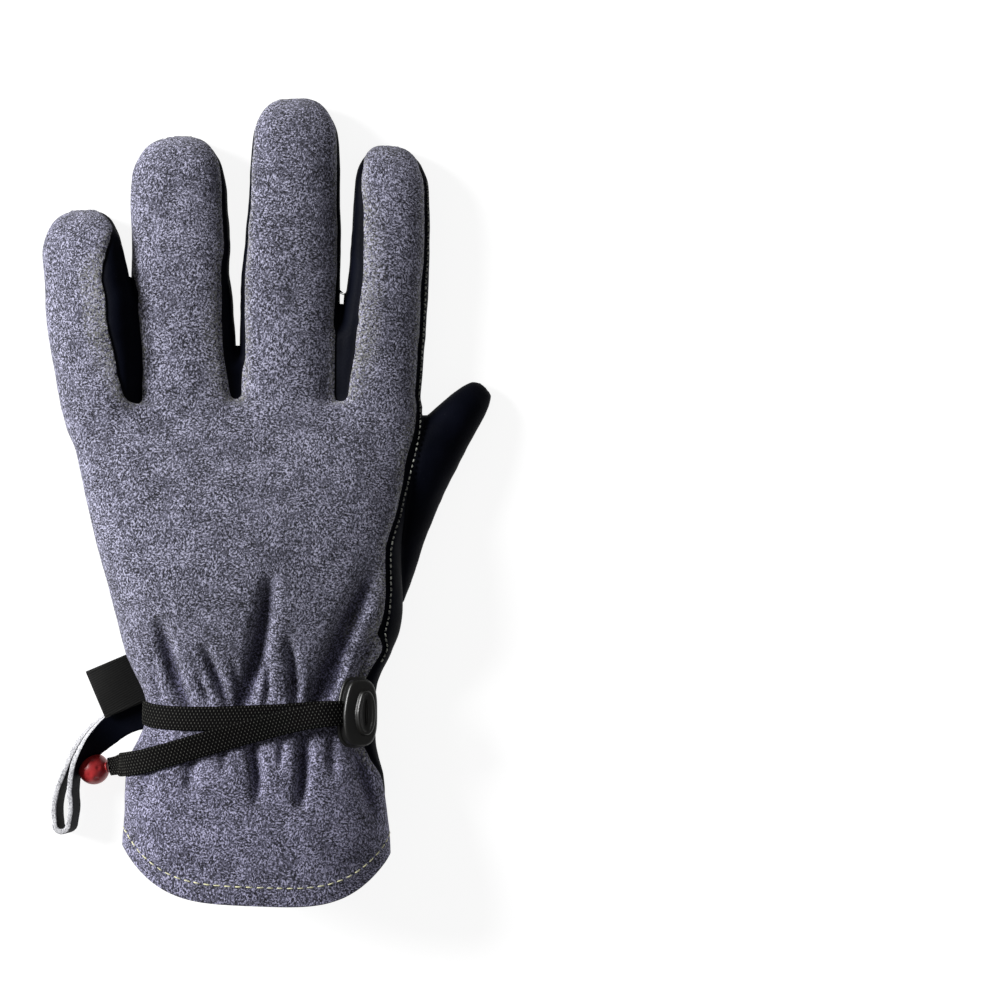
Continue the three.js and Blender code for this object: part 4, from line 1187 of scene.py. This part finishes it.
# The index side's stitches lie on the palm leather below the back panel's edge, the hem's above the hem
points, normals = seam_line(palm_tris, columns[:, UP], -1.5, index_side)
finish_piece(stitches("index_side_stitches", points, normals, 1.25, 0.75, 0.30, 0.10, 11), SEAM_THREAD)
points, normals = seam_line(back_tris, columns[:, HEM], 6.2, lambda p: p[:, 2] > 5.0)
finish_piece(stitches("hem_stitches", points, normals, 2.7, 0.7, 0.24, 0.10, 12), HEM_THREAD)


# The wrist: places on the leather, as in the frame

def hand_point(share, angle):
    left, right, top, under = hand_section(share)
    return np.array([
        (left + right) / 2 + (right - left) / 2 * powered(math.cos(angle), BODY_ROUNDNESS),
        along_y(share),
        max((top + under) / 2 + (top - under) / 2 * powered(math.sin(angle), BODY_ROUNDNESS), 0),
    ])


def wrist_frame(share, angle):
    at = hand_point(share, angle)
    across = hand_point(share, angle + 0.02) - at
    across[1] = 0
    across = unit(across)
    forward = np.array([0.0, 1.0, 0.0])
    return at, across, forward, np.cross(forward, across)


# The lock: its place and size, its plate, its height, and the boss on top, with across over zero to the left
LOCK_ALONG, LOCK_ANGLE = 0.239, math.radians(34)
LOCK_LENGTH, LOCK_WIDTH = 23.5, 15.0
PLATE_WIDTH, PLATE_SHIFT = 13.6, 2.1
LOCK_BASE = 1.3
LOCK_SLOT = 2 * WEBBING_THICKNESS + 0.75
LOCK_HEIGHT = LOCK_BASE + LOCK_SLOT + 1.2
BOSS_LENGTH, BOSS_WIDTH, BOSS_SHIFT = 15.0, 7.0, -1.3
CORNER_CUT = 0.26


def lock_frame():
    at, across, forward, out = wrist_frame(LOCK_ALONG, LOCK_ANGLE)
    highest = 0.0
    for i in range(-8, 9):
        share = LOCK_ALONG + i / 8 * LOCK_LENGTH / 2 / GLOVE_LENGTH
        for angle in np.arange(0, math.pi, math.pi / 60):
            offset = hand_point(share, angle) - at
            if math.hypot(offset @ across / LOCK_WIDTH, offset[1] / LOCK_LENGTH) <= 1.05 / 2:
                highest = max(highest, offset @ out)
    return at + out * (highest + PIECE_GAP), across, forward, out


LOCK = lock_frame()


def lock_place(across, forward, out):
    return LOCK[0] + LOCK[1] * across + LOCK[2] * forward + LOCK[3] * out


# Rows of raised threads across a tape, and stations from one raised thread to the next along it
WEAVE_ROWS = 8
WEAVE_STEPS = 4
WEAVE_STATION = 0.30
WEAVE_RELIEF = 0.16
# The tail narrows by a share of its width over its last stations
NARROWED, NARROWED_STATIONS = 0.24, 50


def webbing_mesh(name, stations, narrowed=0.0):
    """A woven tape. Each station is a function that gives the point at an offset across and a height."""
    half = WEBBING_THICKNESS / 2
    rings, weave_highlight = [], []
    for i, place in enumerate(stations):
        near_end = eased(i, len(stations) - NARROWED_STATIONS, len(stations) - 1)
        half_width = WEBBING_WIDTH / 2 * (1 - narrowed * near_end)
        ring = []
        for face in (1, -1):
            for a in np.linspace(-1, 1, 4 * WEAVE_ROWS + 1)[::face]:
                edge = (1 - abs(a) ** 5) ** 0.35
                row = (a + 1) / 2 * WEAVE_ROWS
                along = math.cos(2 * math.pi * (i / WEAVE_STEPS + 0.5 * (math.floor(row) % 2)))
                high = max(along, 0) ** 0.7 * math.sin(math.pi * (row % 1)) ** 0.8 if abs(a) < 1 else 0.0
                off = edge * (half - WEAVE_RELIEF + WEAVE_RELIEF * high)
                ring.append(place(a * half_width, half + face * off))
                # The raised threads' height, which the webbing's colour turns into a painted highlight
                weave_highlight.append(high)
        rings.append(ring)
    verts, faces = loft(rings)
    obj = make_object(name, verts, outward(verts, faces))
    give_attribute(obj, "weave_highlight", np.concatenate([weave_highlight, [0.5, 0.5]]))
    return obj


def even_stations(points, side, up, step):
    """Stations at even distances along a line with its sides and ups carried along."""
    lengths = lengths_along(points)
    at = np.arange(0, lengths[-1] + step / 2, step)
    middle = columns_at(at, lengths, points)
    side, up = unit(columns_at(at, lengths, side)), unit(columns_at(at, lengths, up))
    return [
        (lambda offset, height, m=m, s=s, u=u: m + s * offset + u * height)
        for m, s, u in zip(middle, side, up)
    ]


# Where the strap runs, how far it sags toward the hem and how high it lifts off the leather
STRAP_ALONG, STRAP_SAG, STRAP_LIFT = 0.2385, 0.007, 0.6
STRAP_ANGLES = np.radians(np.linspace(179, 63, 60))


def strap_stations():
    middles, sides, ups = [], [], []
    for i, angle in enumerate(STRAP_ANGLES):
        t = i / (len(STRAP_ANGLES) - 1)
        share = STRAP_ALONG - STRAP_SAG * math.sin(math.pi * t)
        lift = PIECE_GAP + STRAP_LIFT * math.sin(math.pi * t / 2) ** 2
        at, _, _, out = wrist_frame(share, angle)
        half = WEBBING_WIDTH / 2 / GLOVE_LENGTH
        middles.append(at + out * lift)
        sides.append(unit(hand_point(share + half, angle) - hand_point(share - half, angle)))
        ups.append(out)
    for across in (LOCK_WIDTH / 2 + 2, LOCK_WIDTH / 2 - 4.75):
        middles.append(lock_place(across, 0, LOCK_BASE + 0.25))
        sides.append(LOCK[2])
        ups.append(LOCK[3])
    return even_stations(np.array(middles), np.array(sides), np.array(ups), WEAVE_STATION)


finish_piece(webbing_mesh("strap_webbing", strap_stations()), WEBBING, "webbing", "wrist_strap")

# The tail's route from the lock to the ball, along the top of the webbing
TAIL_ROUTE = np.array([
    [27.3, -70.2, 30.8], [23.0, -70.4, 32.8], [18.0, -70.9, 33.5], [10.0, -72.2, 32.7],
    [1.0, -74.4, 32.1], [-11.0, -77.6, 32.2], [-23.0, -81.0, 32.4], [-34.0, -84.2, 31.3],
    [-41.6, -86.3, 28.8], [-47.0, -87.4, 24.8], [-49.7, -88.0, 18.8], [-50.3, -88.3, 13.4],
    [-51.6, -88.7, 10.3], [-54.6, -89.3, 7.6],
])
BALL = np.array([-60.0, -90.1, 5.35])
BALL_RADIUS, NECK_RADIUS = 5.3, 1.9
# Directions of the dents in the ball, with their depth and spread
DENTS = ((-0.2, -0.35, 0.92), (0.35, 0.1, 0.93), (-0.45, 0.35, 0.82), (0.05, 0.55, 0.83), (0.25, -0.6, 0.76))
DENT_DEPTH, DENT_SPREAD = 0.28, 0.13


def tail_line():
    line = catmull(TAIL_ROUTE, 12)
    tangent = unit(np.gradient(line, axis=0))
    side = np.cross(tangent, [0, 0, 1.0])
    side[:, 2] = 0
    side = unit(np.where(np.linalg.norm(side, axis=1)[:, None] > 0.25, side, [0.2, 1.0, 0]))
    side = unit(smoothed(np.where(side[:, 1:2] < 0, -side, side), 8))
    up = np.cross(side, tangent)
    return line, side, np.where(up[:, 2:3] < -0.2, -up, up)


line, side, up = tail_line()
tail_stations = even_stations(line - up * WEBBING_THICKNESS / 2, side, up, WEAVE_STATION)
tail = webbing_mesh("tail_webbing", tail_stations, NARROWED)
finish_piece(tail, WEBBING, "webbing", "drawstring_tail")


def ball_mesh():
    """The ball with its neck: rings round the line from the ball's far side to the webbing."""
    axis = TAIL_ROUTE[-1] - BALL
    reach = np.linalg.norm(axis) - PIECE_GAP
    axis = unit(axis)
    side = unit(np.cross(axis, [0, 0, 1.0]))
    upward = np.cross(side, axis)
    join = math.acos(NECK_RADIUS / BALL_RADIUS * 1.06)
    rows = []
    for a in np.linspace(-math.pi / 2 + 0.02, join, 56):
        rows.append((BALL_RADIUS * math.sin(a), BALL_RADIUS * math.cos(a)))
    start = BALL_RADIUS * math.sin(join)
    for t in np.linspace(0.15, 1, 8):
        rows.append((start + t * (reach - start), NECK_RADIUS * (1 - 0.06 * math.sin(math.pi * t))))
    rows.append((reach, NECK_RADIUS * 0.86))
    turn = np.linspace(0, 2 * np.pi, 72, endpoint=False)
    round_line = np.outer(np.cos(turn), side) + np.outer(np.sin(turn), upward)
    verts, faces = loft([BALL + axis * d + r * round_line for d, r in rows])
    outwards = unit(verts - BALL)
    for dent in DENTS:
        near = np.linalg.norm(outwards - unit(np.array(dent)), axis=1)
        verts -= outwards * (DENT_DEPTH * np.exp(-(near / DENT_SPREAD) ** 2))[:, None]
    verts[:, 2] = np.maximum(verts[:, 2], 0.0)
    return make_object("red_ball", verts, outward(verts, faces))


ball = ball_mesh()
finish_piece(ball, RED_PLASTIC, "red_plastic", "cord_end_ball")


# Rings of the lock's plate, housing and boss: inset, height. The last two count from the lock's height.
PLATE_RINGS = ((1.5, 0.0), (0.5, 0.0), (0.12, 0.2), (0.0, 0.5), (0.0, 0.85), (0.15, 1.15),
               (0.5, 1.3), (1.2, 1.32))
HOUSING_RINGS = ((1.0, 1.2 - LOCK_HEIGHT), (0.75, 1.5 - LOCK_HEIGHT), (0.66, 2.0 - LOCK_HEIGHT), (0.66, -0.9),
                 (0.8, -0.45), (1.15, -0.12), (1.7, 0.0), (2.6, 0.02), (4.0, 0.04), (6.0, 0.05))
BOSS_RINGS = ((-0.35, -0.3), (-0.2, 0.06), (0.0, 0.3), (0.1, 0.9), (0.3, 1.35), (0.7, 1.6),
              (1.1, 1.55), (1.4, 1.2), (1.7, 0.95), (2.4, 0.86), (3.6, 0.9))


def oval_loft(rings, length, width, low, power, shift=0.0):
    """A form through ovals of the lock, each inset from a length and width, at heights over low."""
    ovals = []
    for inset, height in rings:
        oval = []
        for a in np.linspace(0, 2 * np.pi, 96, endpoint=False):
            across, forward = powered(math.cos(a), power), powered(math.sin(a), power)
            cut = 1 - CORNER_CUT * max(forward, 0) * max(across, 0)
            oval.append(lock_place(
                (width / 2 - inset) * across * cut + PLATE_SHIFT + shift,
                (length / 2 - inset) * forward, low + height))
        ovals.append(np.array(oval))
    verts, faces = loft(ovals)
    return verts, outward(verts, faces)


def lock_mesh():
    """The oval lock: a base plate with a rim, a housing and a raised boss with a dished middle."""
    return make_object("lock_housing", *merge_parts([
        oval_loft(PLATE_RINGS, LOCK_LENGTH, PLATE_WIDTH, 0.0, 0.62),
        oval_loft(HOUSING_RINGS, LOCK_LENGTH, PLATE_WIDTH, LOCK_HEIGHT, 0.66),
        oval_loft(BOSS_RINGS, BOSS_LENGTH, BOSS_WIDTH, LOCK_HEIGHT, 0.86, BOSS_SHIFT),
    ]))


finish_piece(lock_mesh(), BLACK_PLASTIC, "black_plastic", "cord_lock")

# The hanging loop: out, down, height, lean, apart
LOOP_ALONG, LOOP_REACH, LOOP_DROP = 0.2345, 27.0, 40.0
STRIP_WIDTH, STRIP_THICKNESS = 9.5, 1.8
LOOP = np.array([
    [0.00, 0.00, 1.20, 90, 0.98], [0.26, 0.05, 1.18, 82, 1.01], [0.51, 0.16, 1.08, 62, 1.10],
    [0.73, 0.30, 0.92, 34, 1.16], [0.90, 0.46, 0.72, 12, 1.35], [0.98, 0.63, 0.60, 10, 2.35],
    [1.00, 0.79, 0.57, 10, 3.25], [1.01, 0.930, 0.56, 10, 2.60],
])


def loop_mesh():
    root = hand_point(LOOP_ALONG, math.pi)
    root[0] -= 2.6 * PIECE_GAP
    rows = catmull(LOOP, 9)
    middles = np.column_stack([
        root[0] - rows[:, 0] * LOOP_REACH, root[1] - rows[:, 1] * LOOP_DROP, rows[:, 2] * STRIP_WIDTH])
    frames = []
    for i, row in enumerate(rows):
        before, after = middles[max(i - 1, 0)], middles[min(i + 1, len(rows) - 1)]
        along = np.array([-1.0, 0, 0]) if i == 0 else (after - before) / np.linalg.norm(after - before)
        level = np.array([along[1], -along[0], 0])
        level /= np.linalg.norm(level)
        lean = math.radians(row[3])
        wide = np.array([0, 0, math.cos(lean)]) + level * math.sin(lean)
        wide -= along * (wide @ along)
        wide /= np.linalg.norm(wide)
        frames.append((middles[i], along, wide, np.cross(along, wide), row[4] * STRIP_THICKNESS / 2))
    stations = [(m + out * apart, wide, out) for m, along, wide, out, apart in frames]
    m, along, wide, out, apart = frames[-1]
    for turn in np.radians(np.linspace(-78, 78, 9)):
        facing = along * math.cos(turn) - out * math.sin(turn)
        stations.append((m + facing * apart, wide, facing))
    stations += [(m - out * apart, wide, -out) for m, along, wide, out, apart in reversed(frames)]
    outline = []
    half, high = STRIP_WIDTH / 2, STRIP_THICKNESS / 2
    flat = np.linspace(-1, 1, 15)
    edge = np.linspace(-1, 1, 5)[1:-1]
    outline += [(half * f, high) for f in flat]
    outline += [(half + 0.10, -high * e) for e in edge]
    outline += [(-half * f, -high) for f in flat]
    outline += [(-half - 0.10, high * e) for e in edge]
    rings = []
    for place, wide, facing in stations:
        rings.append(np.array([place + wide * a + facing * h for a, h in outline]))
    verts, faces = loft(rings)
    n = len(outline)
    rough = 0.16 * lumps(verts, 1.1, 31) + 0.14 * lumps(verts, 3.0, 32)
    towards = np.tile(np.array([np.sign(a) if abs(a) > half * 0.85 else 0.0 for a, h in outline]), len(rings))
    wides = np.repeat(np.array([w for _, w, _ in stations]), n, axis=0)
    verts[:len(rings) * n] += wides * (towards * rough[:len(rings) * n])[:, None]
    verts[:, 2] = np.maximum(verts[:, 2], 0.0)
    faces = outward(verts, faces)
    obj = make_object("loop_strip", verts, faces)
    obj.data.materials.append(BLACK)
    obj.data.materials.append(RAW_EDGE)
    at_edge = np.array([abs(a) > half * 0.99 for a, h in outline])
    for polygon in obj.data.polygons:
        on = [v for v in polygon.vertices if v < len(rings) * n and at_edge[v % n]]
        polygon.material_index = 1 if len(on) == len(polygon.vertices) else 0
    give_attribute(obj, "edge", np.full(len(obj.data.vertices), 9.0))
    return obj


loop = loop_mesh()
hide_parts("hanging_loop")

LABEL_ALONG, LABEL_HEIGHT = 0.2795, 14.7
LABEL_LENGTH, LABEL_REACH, LABEL_THICKNESS = 17.0, 16.0, 1.2
# How deep its root sits in the leather, half its thickness, its folded edges and how far it waves
LABEL_ROOT, LABEL_HALF, LABEL_FOLD, LABEL_WAVE = 1.6, 0.48, 0.16, 0.25


def label_mesh():
    half = LABEL_LENGTH / 2 / GLOVE_LENGTH
    upper, lower = hand_point(LABEL_ALONG + half, math.pi), hand_point(LABEL_ALONG - half, math.pi)
    edge = upper - lower
    edge[2] = 0
    edge = unit(edge)
    out = np.cross([0, 0, 1.0], edge)
    root = (upper + lower) / 2
    root[2] = LABEL_HEIGHT - LABEL_THICKNESS / 2
    root = root - out * LABEL_ROOT
    rings = []
    for t in np.linspace(0, 1, 40):
        row = []
        curl = LABEL_THICKNESS * math.sin(math.pi * t * 0.8)
        for face in (1, -1):
            for a in np.linspace(-1, 1, 41)[::face]:
                fold = eased(abs(a), 0.90, 0.95) * LABEL_FOLD
                thick = (LABEL_HALF + fold) * (1 - abs(a) ** 40) ** 0.5
                tip = 0.10 * math.exp(-((1 - t) / 0.03) ** 2)
                wave = LABEL_WAVE * math.sin(2.2 * a + 2 * t) * t
                height = np.array([0, 0, LABEL_THICKNESS / 2 + curl + face * (thick - tip) + wave])
                row.append(root + out * (t * LABEL_REACH) + edge * (a * LABEL_LENGTH / 2) + height)
        rings.append(row)
    verts, faces = loft(rings)
    return make_object("woven_label", verts, outward(verts, faces))


finish_piece(label_mesh(), LABEL, "label_cloth", "side_label")


# Floor, light and camera

def plane(name, size, place, colour, glow):
    verts = [(-size, -size, 0), (size, -size, 0), (size, size, 0), (-size, size, 0)]
    mesh = bpy.data.meshes.new(name)
    mesh.from_pydata(verts, [], [(0, 1, 2, 3)])
    obj = bpy.data.objects.new(name, mesh)
    obj.location = place
    bpy.context.scene.collection.objects.link(obj)
    n = Nodes(name + "_paint", 0.9, Specular_IOR_Level=0.1)
    n.shader.inputs["Base Color"].default_value = (*colour, 1)
    n.shader.inputs["Emission Color"].default_value = (1, 1, 1, 1)
    n.shader.inputs["Emission Strength"].default_value = glow
    obj.data.materials.append(n.material)
    return obj


plane("floor", 3.0, (0, 0, -0.0002), (0.25, 0.25, 0.25), 0.89)


KEY_PLACE = Vector((-1.55, 0.52, 0.86))
light = bpy.data.lights.new("key", "AREA")
light.shape = "DISK"
light.size, light.energy = 0.8, 70
key = bpy.data.objects.new("key", light)
key.location = KEY_PLACE
key.rotation_euler = (-KEY_PLACE).to_track_quat("-Z", "Y").to_euler()
bpy.context.scene.collection.objects.link(key)

world = bpy.data.worlds.new("studio")
world.use_nodes = True
world.node_tree.nodes["Background"].inputs["Color"].default_value = (1, 1, 1, 1)
world.node_tree.nodes["Background"].inputs["Strength"].default_value = 0.20
bpy.context.scene.world = world
bpy.context.scene.view_settings.view_transform = "Standard"

# The picture's side at a height, how far the camera is over that height, and where it stands
FRAME_SIDE, FRAME_HEIGHT = 333.333 * MM, 18 * MM
CAMERA_DISTANCE, SENSOR_WIDTH = 1.6, 36.0
CAMERA_X, CAMERA_Y = 76.47 * MM, 0.17 * MM
camera_data = bpy.data.cameras.new("camera")
camera_data.sensor_width = SENSOR_WIDTH
camera_data.lens = SENSOR_WIDTH * CAMERA_DISTANCE / FRAME_SIDE
camera_data.clip_start, camera_data.clip_end = 0.05, 10
camera = bpy.data.objects.new("camera", camera_data)
camera.location = (CAMERA_X, CAMERA_Y, FRAME_HEIGHT + CAMERA_DISTANCE)
bpy.context.scene.collection.objects.link(camera)
bpy.context.scene.camera = camera

bpy.context.view_layer.update()
